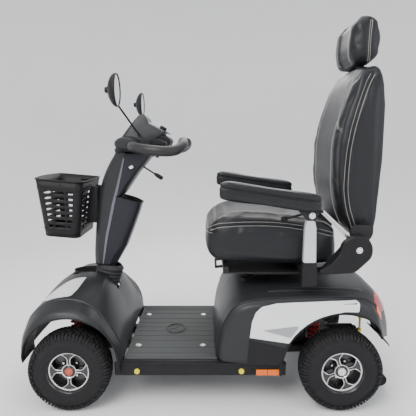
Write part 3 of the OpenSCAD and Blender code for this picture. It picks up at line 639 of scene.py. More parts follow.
class SCOOTER_OT_rims(bpy.types.Operator):
    """Four black alloy wheels with forked spokes, machined edges and nuts"""
    bl_idname = "scooter.rims"
    bl_label = "Rims"

    def execute(self, context):
        for name, x, side in WHEELS:
            face = 30 if name.startswith("front") else 32
            bm = bmesh.new()
            turned(bm, [(84.8, -46), (79, -46), (76, -40), (75, -10), (75, 18), (77.5, 30), (80, 40), (84.8, 45.5),
                (84.8, -46)], Vector(), Vector((0, 1, 0)), 72)
            turned(bm, [(0, 2), (72, 2), (75.5, 2), (75.5, -2), (0, -2)], Vector(), Vector((0, 1, 0)), 48)
            hub = "rear" if name.startswith("rear") else "front"
            turned(bm, [(0, face + 2), (17, face + 2), (20, face - 1), (21, face - 8), (24, -30), (0, -30)], Vector(),
                Vector((0, 1, 0)), 36)
            # hub disc and outer ring joined by four forked spokes
            web = bmesh.new()
            turned(web, [(20, face - 2), (26, face - 2), (28, face - 4), (28, face - 11), (20, face - 11),
                (20, face - 2)], Vector(), Vector((0, 1, 0)), 48)
            for k in range(4):
                fork = bmesh.new()
                half = [(6.0, 24), (5.2, 44), (9, 55), (20, 64), (31, 69.5), (31.5, 73), (24, 75.5), (12, 77.5)]
                ring = [Vector((a, b)) for a, b in half] + [Vector((-a, b)) for a, b in reversed(half)]
                slab(fork, [(p.x, p.y) for p in ring], face - 12, face, 1.8, 2, material=1)
                bmesh.ops.rotate(fork, cent=(0, 0, 0),
                    matrix=Matrix.Rotation(k * math.pi / 2 + (0.35 if name.startswith("rear") else 0), 3, "Y"),
                    verts=fork.verts)
                made = bpy.data.meshes.new("fork")
                fork.to_mesh(made)
                web.from_mesh(made)
                bpy.data.meshes.remove(made)
                fork.free()
            made = bpy.data.meshes.new("web")
            web.to_mesh(made)
            web.free()
            bm.from_mesh(made)
            bpy.data.meshes.remove(made)
            # dark pockets in the forks
            for k in range(4):
                a = k * math.pi / 2 + (0.35 if name.startswith("rear") else 0)
                spot = bmesh.new()
                slab(spot, rounded([(-15, 71.5), (0, 60), (15, 71.5), (0, 74)], 2), face - 0.6, face + 0.5, 0.3, 1)
                bmesh.ops.rotate(spot, cent=(0, 0, 0), matrix=Matrix.Rotation(a, 3, "Y"), verts=spot.verts)
                made = bpy.data.meshes.new("spot")
                spot.to_mesh(made)
                spot.free()
                bm.from_mesh(made)
                bpy.data.meshes.remove(made)
            flip = Matrix.Diagonal((1, side, 1)).to_4x4()
            bmesh.ops.transform(bm, matrix=flip, verts=bm.verts)
            bmesh.ops.translate(bm, vec=(x, side * 285, AXLE), verts=bm.verts)
            body = wheel_body(name)
            settle("rim_" + name + "_alloy", bm, (wheel_black(), machined()), body, "rim", ("rim_" + name,),
                smooth=30)
            bright = bmesh.new()
            outer = [(79.5, face + 2.5), (80.6, face + 3.6), (78, face + 4.4), (75, face + 3.6), (73.6, face + 1.2),
                (75, face - 1), (79.5, face + 2.5)]
            turned(bright, outer, Vector(), Vector((0, 1, 0)), 72)
            turned(bright, [(24.5, face - 0.5), (26, face + 0.8), (28.2, face + 0.6), (29, face - 1.5),
                (24.5, face - 0.5)], Vector(), Vector((0, 1, 0)), 48)
            for k in range(4):
                a = k * math.pi / 2 + (0.35 if name.startswith("rear") else 0)
                half = [(6.0, 27), (5.2, 44), (9, 55), (20, 64), (31, 69.5), (33, 73)]
                for s in (1, -1):
                    path = [Vector((s * p, face + 0.2, q)) for p, q in half]
                    path = line(path, 14)
                    spin = Matrix.Rotation(a, 3, "Y")
                    tube(bright, [spin @ p for p in path], 1.5, 6, True, Vector((0, 1, 0)))
                nut = Matrix.Rotation(a + math.pi / 4, 3, "Y") @ Vector((0, 0, 36))
                turned(bright, [(0, 14), (4, 13.6), (6.4, 11), (6.8, 2), (6.8, 0)], nut, Vector((0, 1, 0)), 12)
            bmesh.ops.transform(bright, matrix=flip, verts=bright.verts)
            bmesh.ops.translate(bright, vec=(x, side * 285, AXLE), verts=bright.verts)
            settle("rim_" + name + "_edges", bright, machined(), body, "rim", smooth=40)
            cap = bmesh.new()
            turned(cap, [(0, face + 5), (9, face + 4.6), (12, face + 3.4), (13, face + 2)], Vector(),
                Vector((0, 1, 0)), 36)
            tube(cap, [Vector((14.4 * math.cos(q * math.tau / 36), face + 3,
                14.4 * math.sin(q * math.tau / 36))) for q in range(37)], 1.7, 8, False, Vector((0, 1, 0)))
            bmesh.ops.transform(cap, matrix=flip, verts=cap.verts)
            bmesh.ops.translate(cap, vec=(x, side * 285, AXLE), verts=cap.verts)
            colour = lens("hub_ring_red", (0.45, 0.09, 0.05), 0.3) if hub == "front" else chrome()
            settle("hub_cap_" + name, cap, colour, body, "rim", smooth=40)
        return {"FINISHED"}


# ---- cowls ----
# Lines of the front cowl from its foot behind the front wheel, over the top, to the nose: (x, y, z)
FRONT_CENTRE = [(338, 0, 205), (350, 0, 262), (371, 0, 322), (397, 0, 388), (422, 0, 446), (450, 0, 478),
    (520, 0, 487), (575, 0, 479),
                (632, 0, 449), (682, 0, 408), (722, 0, 362), (749, 0, 312), (761, 0, 262), (764, 0, 215),
                    (763, 0, 190)]
FRONT_SHOULDER = [(338, 125, 205), (350, 130, 261), (370, 132, 320), (396, 132, 384), (421, 130, 440),
    (450, 130, 468), (520, 130, 474), (575, 130, 467),
                  (630, 130, 440), (678, 130, 402), (718, 130, 357), (745, 130, 308), (758, 130, 259),
                      (762, 128, 214), (761, 125, 190)]
FRONT_CREASE = [(333, 262, 205), (344, 266, 240), (361, 268, 277), (384, 268, 318), (415, 266, 361), (452, 262, 398),
    (505, 257, 425), (560, 254, 432),
                (612, 252, 427), (660, 250, 408), (698, 248, 374), (724, 244, 333), (740, 240, 292), (748, 234, 250),
                    (748, 228, 205)]
FRONT_FLARE = [(338, 306, 196), (348, 312, 232), (362, 316, 272), (382, 318, 310), (410, 318, 346), (446, 316, 378),
    (500, 314, 402), (552, 312, 408),
               (604, 311, 401), (652, 308, 380), (688, 304, 347), (714, 299, 308), (730, 292, 270), (738, 282, 234),
                   (738, 270, 196)]
FRONT_LIP = [(345, 322, 160), (347, 326, 200), (352, 328, 238), (366, 330, 279), (390, 331, 316), (425, 331, 349),
    (482, 331, 376), (538, 330, 385),
             (596, 329, 376), (646, 326, 352), (684, 321, 318), (710, 315, 278), (725, 306, 237), (731, 297, 210),
                 (731, 290, 188)]


def front_top(u, v):
    return rails((FRONT_CENTRE, FRONT_SHOULDER, FRONT_CREASE), u, v)


def front_fender(u, v):
    return rails((FRONT_CREASE, FRONT_FLARE, FRONT_LIP), u, v)


REAR_CENTRE = [(-26, 0, 205), (-29, 0, 260), (-40, 0, 322), (-59, 0, 380), (-90, 0, 436), (-134, 0, 465),
    (-200, 0, 479), (-300, 0, 482), (-420, 0, 481),
               (-540, 0, 479), (-640, 0, 474), (-690, 0, 446), (-724, 0, 402), (-745, 0, 350), (-757, 0, 300),
                   (-763, 0, 240)]
REAR_TOP = [(-27, 150, 205), (-31, 165, 260), (-42, 180, 322), (-62, 190, 378), (-94, 198, 430), (-140, 204, 456),
    (-206, 208, 469), (-300, 210, 473), (-420, 210, 474),
            (-540, 208, 473), (-636, 200, 467), (-684, 188, 438), (-716, 176, 395), (-737, 164, 345),
                (-750, 156, 296), (-757, 150, 240)]
REAR_CREASE = [(-31, 268, 205), (-38, 276, 258), (-50, 282, 314), (-70, 287, 368), (-101, 291, 414), (-148, 294, 438),
    (-212, 296, 449), (-305, 297, 456), (-420, 297, 459),
               (-535, 296, 458), (-600, 292, 450), (-640, 285, 428), (-666, 274, 394), (-684, 264, 352),
                   (-700, 254, 316), (-712, 244, 276)]
REAR_SIDE = [(-44, 292, 202), (-56, 298, 243), (-74, 305, 292), (-98, 311, 338), (-132, 316, 378), (-172, 319, 398),
    (-235, 322, 400), (-308, 323, 392), (-398, 323, 418),
             (-497, 322, 436), (-566, 320, 436), (-620, 314, 414), (-652, 306, 384), (-669, 298, 350),
                 (-682, 288, 320), (-692, 278, 284)]
REAR_LIP = [(-62, 302, 196), (-88, 308, 196), (-116, 314, 196), (-146, 319, 196), (-184, 323, 196), (-225, 325, 196),
    (-284, 326, 205), (-314, 327, 283), (-374, 327, 351),
            (-459, 327, 394), (-530, 327, 402), (-596, 326, 388), (-634, 321, 366), (-656, 314, 342),
                (-669, 305, 318), (-678, 296, 290)]


def rear_top(u, v):
    return rails((REAR_CENTRE, REAR_TOP, REAR_CREASE), u, v)


def rear_flank(u, v):
    return rails((REAR_CREASE, REAR_SIDE, REAR_LIP), u, v)


def tree_of(bm):
    return BVHTree.FromBMesh(bm)


class SCOOTER_OT_front_cowl(bpy.types.Operator):
    """The front cowl with its flared mudguards, bonnet panels, headlamps and wheel wells"""
    bl_idname = "scooter.front_cowl"
    bl_label = "Front cowl"

    def execute(self, context):
        bm = patch(84, 24, front_top)
        gone = [f for f in bm.faces if ((f.calc_center_median().x - 446) / 50) ** 2 + (f.calc_center_median().y / 58) ** 2 < 1 and f.calc_center_median().z > 400
                or (505 < f.calc_center_median().x < 596 and abs(f.calc_center_median().y) < 46 and f.calc_center_median().z > 400)
                or (446 < f.calc_center_median().x < 510 and abs(f.calc_center_median().y) < 52)]
        bmesh.ops.delete(bm, geom=gone, context="FACES")
        mirrored(bm)
        top = tree_of(bm)
        settle("front_cowl_top", bm, body_paint(), "chassis", "body_plastic", ("front_cowl",), wall=4)
        bm = patch(96, 16, front_fender)
        mirrored(bm)
        guard = tree_of(bm)
        settle("front_mudguards", bm, body_paint(), "chassis", "body_plastic", wall=4, smooth=50)
        # black rolled edge of the arch and the dark lining behind it
        bm = bmesh.new()
        lip = [Vector(p) for p in line(FRONT_LIP, 80)]
        tube(bm, [p + Vector((0, -1.5, -1)) for p in lip], 3.6, 8, True, Vector((0, 1, 0)))
        mirrored(bm, 0)
        settle("front_arch_lips", bm, moulding(), "chassis", "black_plastic")
        bm = patch(60, 6, lambda u, v: Vector(along(FRONT_LIP, u)) + Vector((0, -6 - 118 * v, 2 * v)))
        mirrored(bm, 0)
        settle("front_wheel_wells", bm, moulding(), "chassis", "black_plastic", wall=2.5)
        # recess at the foot of the tiller
        bm = patch(30, 8, lambda u, v: Vector((520 + (80 - 18 * v) * math.cos(u * math.tau),
            (50 - 12 * v) * math.sin(u * math.tau), 484 - 60 * v)))
        settle("tiller_recess", bm, moulding(), "chassis", "black_plastic", wall=2)
        # silver bonnet panels, laid on the cowl
        bm = bmesh.new()
        outline = rounded([(514, 112), (560, 118), (600, 128), (640, 150), (676, 168), (668, 205), (640, 232),
            (590, 238), (548, 234), (530, 190)], 12)
        bm.faces.new([bm.verts.new((p.x, p.y, 600)) for p in outline])
        cut_up(bm, 9, (0, 1))
        draped(bm, top, (0, 0, -1), 0.8)
        bmesh.ops.solidify(bm, geom=bm.faces[:], thickness=-2.0)
        mirrored(bm, 0)
        settle("bonnet_panels_silver", bm, panel_paint(), "chassis", "silver_plastic", ("bonnet_panels",), smooth=50)
        # headlamps wrapped round the front of the mudguards
        for label, outline, proud, look in (
                ("headlamp_bezels", [(176, 352), (206, 388), (246, 372), (286, 318), (284, 270), (262, 276),
                    (228, 322), (196, 336)], 0.6, moulding()),
                ("headlamps", [(184, 354), (208, 380), (242, 365), (278, 316), (278, 282), (262, 288), (232, 328),
                    (200, 341)], 2.2, lens("headlamp_lens", (0.72, 0.74, 0.76), 0.08))):
            bm = bmesh.new()
            bm.faces.new([bm.verts.new((900, p.x, p.y)) for p in rounded(outline, 8)])
            cut_up(bm, 7, (1, 2))
            for v in bm.verts:
                start = v.co.copy()
                hits = [t.ray_cast(start, Vector((-1, 0, 0)))[0] for t in (top, guard)]
                hits = [h for h in hits if h]
                if hits:
                    v.co = max(hits, key=lambda h: h.x) + Vector((proud, 0, 0))
            bm.verts.ensure_lookup_table()
            stray = [v for v in bm.verts if v.co.x > 800]
            bmesh.ops.delete(bm, geom=stray, context="VERTS")
            mirrored(bm, 0)
            settle(label, bm, look, "chassis", "lens" if label == "headlamps" else "black_plastic", wall=1.5,
                smooth=60)
        # air slot in the nose
        bm = bmesh.new()
        for k in range(3):
            block(bm, (756, -70 + k * 4, 226 + k * 13), (764, 70 - k * 4, 232 + k * 13), 2)
        settle("nose_slots", bm, moulding(), "chassis", "black_plastic")
        return {"FINISHED"}


class SCOOTER_OT_rear_cowl(bpy.types.Operator):
    """The rear cowl with its silver side panels, skirts, arch lips, tail lamps and mud flaps"""
    bl_idname = "scooter.rear_cowl"
    bl_label = "Rear cowl"

    def execute(self, context):
        bm = patch(96, 22, rear_top)
        gone = [f for f in bm.faces if (f.calc_center_median().xy - Vector((-274,
            0))).length < 36 and f.calc_center_median().z > 440]
        bmesh.ops.delete(bm, geom=gone, context="FACES")
        mirrored(bm)
        top = tree_of(bm)
        settle("rear_cowl_top", bm, body_paint(), "chassis", "body_plastic", ("rear_cowl",), wall=4)
        bm = patch(110, 14, rear_flank)
        mirrored(bm)
        flank = tree_of(bm)
        settle("rear_cowl_flanks", bm, body_paint(), "chassis", "body_plastic", wall=4, smooth=50)
        # trim line along the crease, and the step above it
        bm = bmesh.new()
        tube(bm, [Vector(p) + Vector((0, 0.5, 0.5)) for p in line(REAR_CREASE, 70)[12:58]], 1.6, 6, True,
            Vector((0, 1, 0)))
        mirrored(bm, 0)
        settle("rear_trim_lines", bm, body_paint(), "chassis", "body_plastic")
        bm = patch(44, 5, lambda u, v: Vector((-236 - 372 * u, 226 + 30 * v,
            474.5 + 4 * math.sin(math.pi * v) * min(1, 8 * u, 8 - 8 * u) - 3 * v)))
        draped(bm, top, (0, 0, -1), 0.0)
        for v in bm.verts:
            v.co.z += 0.3 + 3.2 * max(0, math.sin(math.pi * (v.co.y - 226) / 30)) * min(1,
                max(0, (-236 - v.co.x) / 30), max(0, (v.co.x + 608) / 30))
        mirrored(bm, 0)
        settle("rear_deck_ridges", bm, body_paint(), "chassis", "body_plastic", wall=1.5, smooth=60)
        # side panels and skirts laid on the flank
        arch = [(-521 + 243 * math.cos(math.radians(a)), 162 + 243 * math.sin(math.radians(a))) for a in (22, 30, 38,
            46, 54, 62, 70, 78)]
        silver = rounded([(-160, 302), (-168, 366), (-182, 404), (-206, 426), (-262, 436), (-360, 441), (-470, 447),
            (-566, 450), (-578, 441), (-574, 408), (-520, 410)], 6) + \
            [Vector((x, z)) for x, z in reversed([p for p in arch if p[0] < -296])]
        for label, outline, proud, look, slot, stands in (
                ("side_panels_silver", silver, 1.0, panel_paint(), "silver_plastic", ("side_panels",)),
                # flat grey sheet on the silver panels: painted shade standing in for the dents, which are not shaped
                ("side_panel_dent_shade", [Vector(p) for p in rounded([(-210, 335), (-316, 306), (-346, 348), (-338, 353)],
                    3)], 2.6,
                 finish("panel_shadow_grey", (0.30, 0.305, 0.31), 0.32, metal=0.1, coat=0.4, mottle=0.05),
                     "silver_plastic", ()),
                ("rear_skirt_panels", rounded([(-150, 200), (-281, 200), (-287, 214), (-303, 258), (-306, 262),
                    (-158, 297)], 4), 1.0, moulding(), "black_plastic", ("rear_skirts",))):
            bm = bmesh.new()
            bm.faces.new([bm.verts.new((p.x, 500, p.y)) for p in outline])
            cut_up(bm, 10, (0, 2))
            draped(bm, flank, (0, -1, 0), proud)
            bmesh.ops.recalc_face_normals(bm, faces=bm.faces)
            bmesh.ops.solidify(bm, geom=bm.faces[:], thickness=1.6)
            mirrored(bm, 0)
            settle(label, bm, look, "chassis", slot, stands, smooth=50)
        bm = bmesh.new()
        edge = [Vector(p) for p in line(REAR_LIP[6:], 60)]
        tube(bm, [p + Vector((0, -1, -1)) for p in edge], 4.2, 8, True, Vector((0, 1, 0)))
        tube(bm, [Vector((-281, 325, z)) for z in (150, 170, 190, 204)], 4.2, 8, True, Vector((0, 1, 0)))
        mirrored(bm, 0)
        settle("rear_arch_lips", bm, moulding(), "chassis", "black_plastic")
        bm = patch(50, 6, lambda u, v: Vector(along(REAR_LIP[6:], u)) + Vector((0, -6 - 110 * v, 3 * v)))
        mirrored(bm, 0)
        settle("rear_wheel_wells", bm, moulding(), "chassis", "black_plastic", wall=2.5)
        # mud flap that follows the tyre behind the wheel
        bm = patch(20, 6, lambda u, v: Vector((-521 - (208 + 3 * v) * math.cos(math.radians(32 + 24 * u)),
            238 + 84 * v, 162.5 + 206 * math.sin(math.radians(32 + 24 * u)))))
        mirrored(bm, 0)
        settle("mud_flaps", bm, moulding(), "chassis", "black_plastic", wall=3)
        # tail lamps wrapped round the rear corners
        for label, outline, proud, look in (
                ("tail_lamps", [(446, 138), (446, 232), (430, 270), (398, 262), (376, 246), (376, 150)], 1.6,
                    lens("tail_lamp_red", (0.34, 0.006, 0.005), 0.2)),
                ("tail_indicators", [(416, 268), (398, 296), (368, 286), (352, 268), (372, 250), (396, 262)], 2.0,
                    lens("indicator_amber", (0.78, 0.14, 0.003), 0.2))):
            bm = bmesh.new()
            bm.faces.new([bm.verts.new((-900, y, z)) for z, y in [(p.x, p.y) for p in rounded(outline, 8)]])
            cut_up(bm, 6, (1, 2))
            for v in bm.verts:
                hits = [t.ray_cast(v.co, Vector((1, 0, 0)))[0] for t in (top, flank)]
                hits = [h for h in hits if h]
                if hits:
                    v.co = min(hits, key=lambda h: h.x) + Vector((-proud, 0.6, 0))
            stray = [v for v in bm.verts if v.co.x < -800]
            bmesh.ops.delete(bm, geom=stray, context="VERTS")
            mirrored(bm, 0)
            settle(label, bm, look, "chassis", "lens" if label == "tail_lamps" else "amber",
                ("lamps",) if label == "tail_lamps" else (), wall=2.0, smooth=60)
        return {"FINISHED"}


class SCOOTER_OT_deck(bpy.types.Operator):
    """The ribbed floor mat, its screws and ring emblem, and the sill rails with their reflectors"""
    bl_idname = "scooter.deck"
    bl_label = "Deck"

    def execute(self, context):
        bm = bmesh.new()
        block(bm, (-37, -281, 192.2), (331, 281, 200.4), 2.5, 3)
        for y in (-232, -186, -118, -70, -22, 22, 70, 118, 186, 232):
            block(bm, (-24, y - 4, 199.5), (318, y + 4, 202.0), 1.2, 2)
        for y in (-262, 262):
            block(bm, (-30, y - 10, 199.5), (324, y + 10, 201.8), 1.2, 2)
        settle("floor_mat_ribbed", bm, mat_rubber(), "chassis", "mat_rubber", ("floor_mat",), smooth=40)
        bm = bmesh.new()
        for radius, thick in ((52, 2.0), (43, 1.3)):
            tube(bm, [Vector((146 + radius * 0.82 * math.cos(a * math.tau / 48), radius * math.sin(a * math.tau / 48),
                202.2)) for a in range(49)], thick, 8, False, Vector((0, 0, 1)))
        for k in range(3):
            a = k * math.tau / 3
            tube(bm, line([Vector((146, 0, 202.2)), Vector((146 + 17 * math.cos(a), 20 * math.sin(a), 202.2)),
                Vector((146 + 30 * math.cos(a + 0.5), 36 * math.sin(a + 0.5), 202.2))], 10), 1.4, 8, True,
                Vector((0, 0, 1)))
        settle("mat_ring_emblem", bm, mat_rubber(), "chassis", "mat_rubber")
        bm = bmesh.new()
        for x in (22, 292):
            for y in (-168, 168):
                turned(bm, [(0, 0.9), (6, 0.9), (9, 0)], Vector((x, y, 202)), Vector((0, 0, 1)), 20)
                turned(bm, [(9.5, 0.2), (11.5, 1.0), (13, 0)], Vector((x, y, 201.6)), Vector((0, 0, 1)), 20)
        settle("mat_screws", bm, steel(), "chassis", "steel")
        bm = bmesh.new()
        for s in (1, -1):
            part = [Vector((x, z)) for x, z in ((-305, 141), (366, 141), (367, 192), (-305, 192))]
            slab(bm, rounded(part, 5), *((286.5, 305.5) if s > 0 else (-305.5, -286.5)), 2.2, 3)
            rail = (299, 309) if s > 0 else (-309, -299)
            block(bm, (-306, min(rail), 184), (362, max(rail), 193.5), 1.6, 2)
            block(bm, (-300, 278 if s > 0 else -300, 192.5), (352, 300 if s > 0 else -278, 196), 1.4, 2)
        settle("sill_rails_moulded", bm, moulding(), "chassis", "black_plastic", ("sill_rails",), smooth=40)
        bm = bmesh.new()
        for x in (278, -131):
            turned(bm, [(0, 8), (4, 8), (4.5, 5.5), (7.5, 5.5), (8.5, 7), (10.4, 6), (10.8, 0)],
                Vector((x, 305, 159)), Vector((0, 1, 0)), 28)
        mirrored(bm, 0)
        settle("lashing_points", bm, signal_yellow(), "chassis", "lever_yellow")
        bm = bmesh.new()
        for x, r in ((318, 5), (210, 2.6), (-172, 5), (-150, 2.6), (-296, 3)):
            turned(bm, [(0, 3), (r * 0.7, 2.8), (r, 1.2), (r, 0)], Vector((x, 305.2, 161 if r > 3 else 149)),
                Vector((0, 1, 0)), 16)
        mirrored(bm, 0)
        settle("sill_screws", bm, moulding(), "chassis", "black_plastic")
        bm = bmesh.new()
        for k in range(2):
            block(bm, (-278 + k * 46, 305.6, 143), (-233.5 + k * 46 - 0.5, 311.4, 167), 1.6, 2)
        for k in range(18):
            block(bm, (-276 + k * 5, 311.0, 145), (-273.4 + k * 5, 312.1, 165), 0)
        mirrored(bm, 0)
        settle("side_reflectors_amber", bm, lens("reflector_amber", (0.78, 0.15, 0.003), 0.2), "chassis", "amber",
            ("side_reflectors",))
        return {"FINISHED"}


# ---- tiller ----
# height, front edge, strip, rear edge, half width
TILLER = [(516, 499, 457, 404, 52), (560, 499, 449, 382, 57), (605, 496, 441, 360, 60), (650, 492, 433, 342, 61),
    (700, 487, 421, 321, 62),
          (750, 480, 410, 302, 62), (800, 474, 398, 286, 62), (850, 464, 384, 344, 62), (900, 449, 371, 310, 64),
              (950, 426, 358, 270, 67), (1000, 396, 346, 240, 70)]


def tiller_at(z):
    pick = [(row[0], Vector(row[1:4]), row[4]) for row in TILLER]
    u = ramp(z, [(row[0], i / (len(TILLER) - 1)) for i, row in enumerate(TILLER)])
    edge = along([p[1] for p in pick], u)
    width = along([Vector((p[2], 0)) for p in pick], u)
    return edge, width.x


def tiller_front_skin(u, v):
    z = 516 + 494 * v
    edge, w = tiller_at(z)
    front, strip = edge[0], edge[1]
    turn = [(strip, w), ((strip * 0.55 + front * 0.45), w), (front - 20, w - 3), (front - 6, w - 17),
        (front - 1, w * 0.45), (front, 0)]
    side = [Vector((x, y, z)) for x, y in turn]
    path = side + [Vector((p.x, -p.y, p.z)) for p in reversed(side[:-1])]
    return along(path, u)


def tiller_cup_skin(u, v):
    """The lower rear cover; its rim slopes down to the rear as the mouth of a bottle pocket."""
    low, high = 516, 818
    edge, w = tiller_at(low + (high - low) * v)
    strip, rear = edge[1], ramp(v, [(0, 404), (0.3, 357), (0.6, 325), (0.85, 300), (1, 288)])
    z_front, z_rear = low + (high - low) * v, low + (785 - low) * v
    turn = [(strip, w), (strip * 0.5 + rear * 0.5, w), (rear + 26, w - 3), (rear + 8, w - 16), (rear + 1, w * 0.5),
        (rear, 0)]
    side = []
    for x, y in turn:
        f = (x - rear) / (strip - rear)
        side.append(Vector((x, y, z_rear + (z_front - z_rear) * min(1, f * 1.15))))
    path = side + [Vector((p.x, -p.y, p.z)) for p in reversed(side[:-1])]
    return along(path, u)


def tiller_head_skin(u, v):
    z = 812 + 190 * v
    edge, w = tiller_at(z)
    strip, rear = edge[1], ramp(z, [(812, 380), (826, 362), (842, 349), (880, 324), (919, 297), (955, 266),
        (987, 241), (1002, 236)])
    turn = [(strip, w), (strip * 0.5 + rear * 0.5, w), (rear + 16, w - 4), (rear + 5, w - 14), (rear, w * 0.5),
        (rear, 0)]
    side = [Vector((x, y, z)) for x, y in turn]
    path = side + [Vector((p.x, -p.y, p.z)) for p in reversed(side[:-1])]
    return along(path, u)


def pocket_skin(u, v):
    """Inside of the bottle pocket, from its rim down to its floor."""
    a = u * math.tau
    cx, cy = math.cos(a), math.sin(a)
    shape = (abs(cx) ** 4 + abs(cy) ** 4) ** 0.25
    x = ramp(v, [(0, 337), (1, 372)]) + ramp(v, [(0, 46), (1, 22)]) * cx / shape
    y = (57 - 8 * v) * cy / shape
    f = (x - 288) / 100
    z = (784 + 33 * f) * (1 - v) + 662 * v
    return Vector((x, y, z))


class SCOOTER_OT_tiller(bpy.types.Operator):
    """The tiller's front shell, pale strips painted as the highlight along its seam crease, rear cover with its
    bottle pocket, port cap and bellows
    """
    bl_idname = "scooter.tiller"
    bl_label = "Tiller"

    def execute(self, context):
        settle("tiller_front_shell", patch(44, 60, tiller_front_skin), body_paint(), "tiller", "body_plastic",
            ("tiller_shell",), wall=3.5, smooth=50)
        settle("tiller_rear_pocket", patch(44, 44, tiller_cup_skin), dark_side(), "tiller", "black_plastic",
            ("tiller_rear_cover",), wall=3, smooth=50)
        settle("tiller_rear_head", patch(44, 30, tiller_head_skin), dark_side(), "tiller", "black_plastic", wall=3,
            smooth=50)
        bm = patch(48, 12, pocket_skin)
        bmesh.ops.remove_doubles(bm, verts=bm.verts, dist=0.05)
        floor = [e for e in bm.edges if len(e.link_faces) == 1 and max(v.co.z for v in e.verts) < 664]
        bmesh.ops.edgeloop_fill(bm, edges=floor)
        settle("pocket_lining", bm, moulding(), "tiller", "black_plastic", wall=1.5, smooth=50)
        bm = bmesh.new()
        rim = [tiller_cup_skin(k / 60, 1.0) for k in range(61)]
        tube(bm, rim, 2.6, 8, True)
        settle("pocket_rim", bm, moulding(), "tiller", "black_plastic")
        # raised strips where the front shell meets the rear cover, painted pale as the highlight along that crease
        bm = bmesh.new()
        for s in (1, -1):
            path = []
            for k in range(41):
                z = 522 + (980 - 522) * k / 40
                edge, w = tiller_at(z)
                path.append(Vector((edge[1] + 2, s * (w + 0.2), z)))
            tube(bm, path, [2.0 + 4.2 * math.sin(math.pi * min(1, (k + 3) / 46)) for k in range(41)], 10, True,
                Vector((0, 1, 0)), 1.0)
        for v in bm.verts:
            w = tiller_at(v.co.z)[1]
            v.co.y = math.copysign(w + (abs(v.co.y) - w) * 0.28, v.co.y)
        # pale grey finish: painted highlight of the seam crease, not a trim colour
        settle("tiller_seam_highlight_strips", bm, finish("strip_painted_highlight_grey", (0.11, 0.11, 0.14), 0.3, metal=0.2, coat=0.2,
            mottle=0.06), "tiller", "silver_plastic", smooth=50)
        bm = bmesh.new()
        turned(bm, [(0, 2.2), (13.4, 2.2), (15.2, 1.4), (15.6, 0), (15.8, -2)], Vector((322, 64.5, 944)),
            Vector((0, 1, 0)), 36)
        tube(bm, [Vector((322 + 17.6 * math.cos(a * math.tau / 36), 65.6,
            944 + 17.6 * math.sin(a * math.tau / 36))) for a in range(37)], 1.5, 8, False, Vector((0, 1, 0)))
        settle("port_cap", bm, moulding(), "tiller", "black_plastic")
        bm = bmesh.new()
        slab(bm, rounded([(312, 941), (327, 934), (334, 944), (318, 952)], 4), 66.6, 67.8, 0.4, 1)
        settle("port_cap_mark", bm, panel_paint(), "tiller", "silver_plastic")
        # bellows at the foot, built as one fixed shape that rides on no body
        lean = math.radians(15)
        axis = Vector((-math.sin(lean), 0, math.cos(lean)))
        foot = Vector((440, 0, 490))
        bm = bmesh.new()
        profile = [(40, -96), (48, -90)]
        for k in range(6):
            r = 49 + 1.3 * k
            profile += [(r, -82 + k * 16.5), (r + 3.5, -78.5 + k * 16.5), (r + 5.2, -74 + k * 16.5),
                (r + 3.2, -69.5 + k * 16.5), (r - 1.2, -67.5 + k * 16.5)]
        profile += [(54, 18), (50, 22), (44, 24)]
        turned(bm, profile, foot, axis, 56)
        gaiter = settle("gaiter_bellows", bm, finish("gaiter_rubber", (0.012, 0.012, 0.013), 0.45, shine=0.3,
            mottle=0.2, grain=0.4), None, "gaiter_rubber", ("steering_gaiter",), smooth=60)
        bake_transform(gaiter)
        return {"FINISHED"}


# The console's sloping top face, whose origin is under the speed dial.
CONSOLE_SLOPE = Matrix.Translation((196, 0, 1098.2)) @ Matrix.Rotation(math.radians(-27.3), 4, "Y")


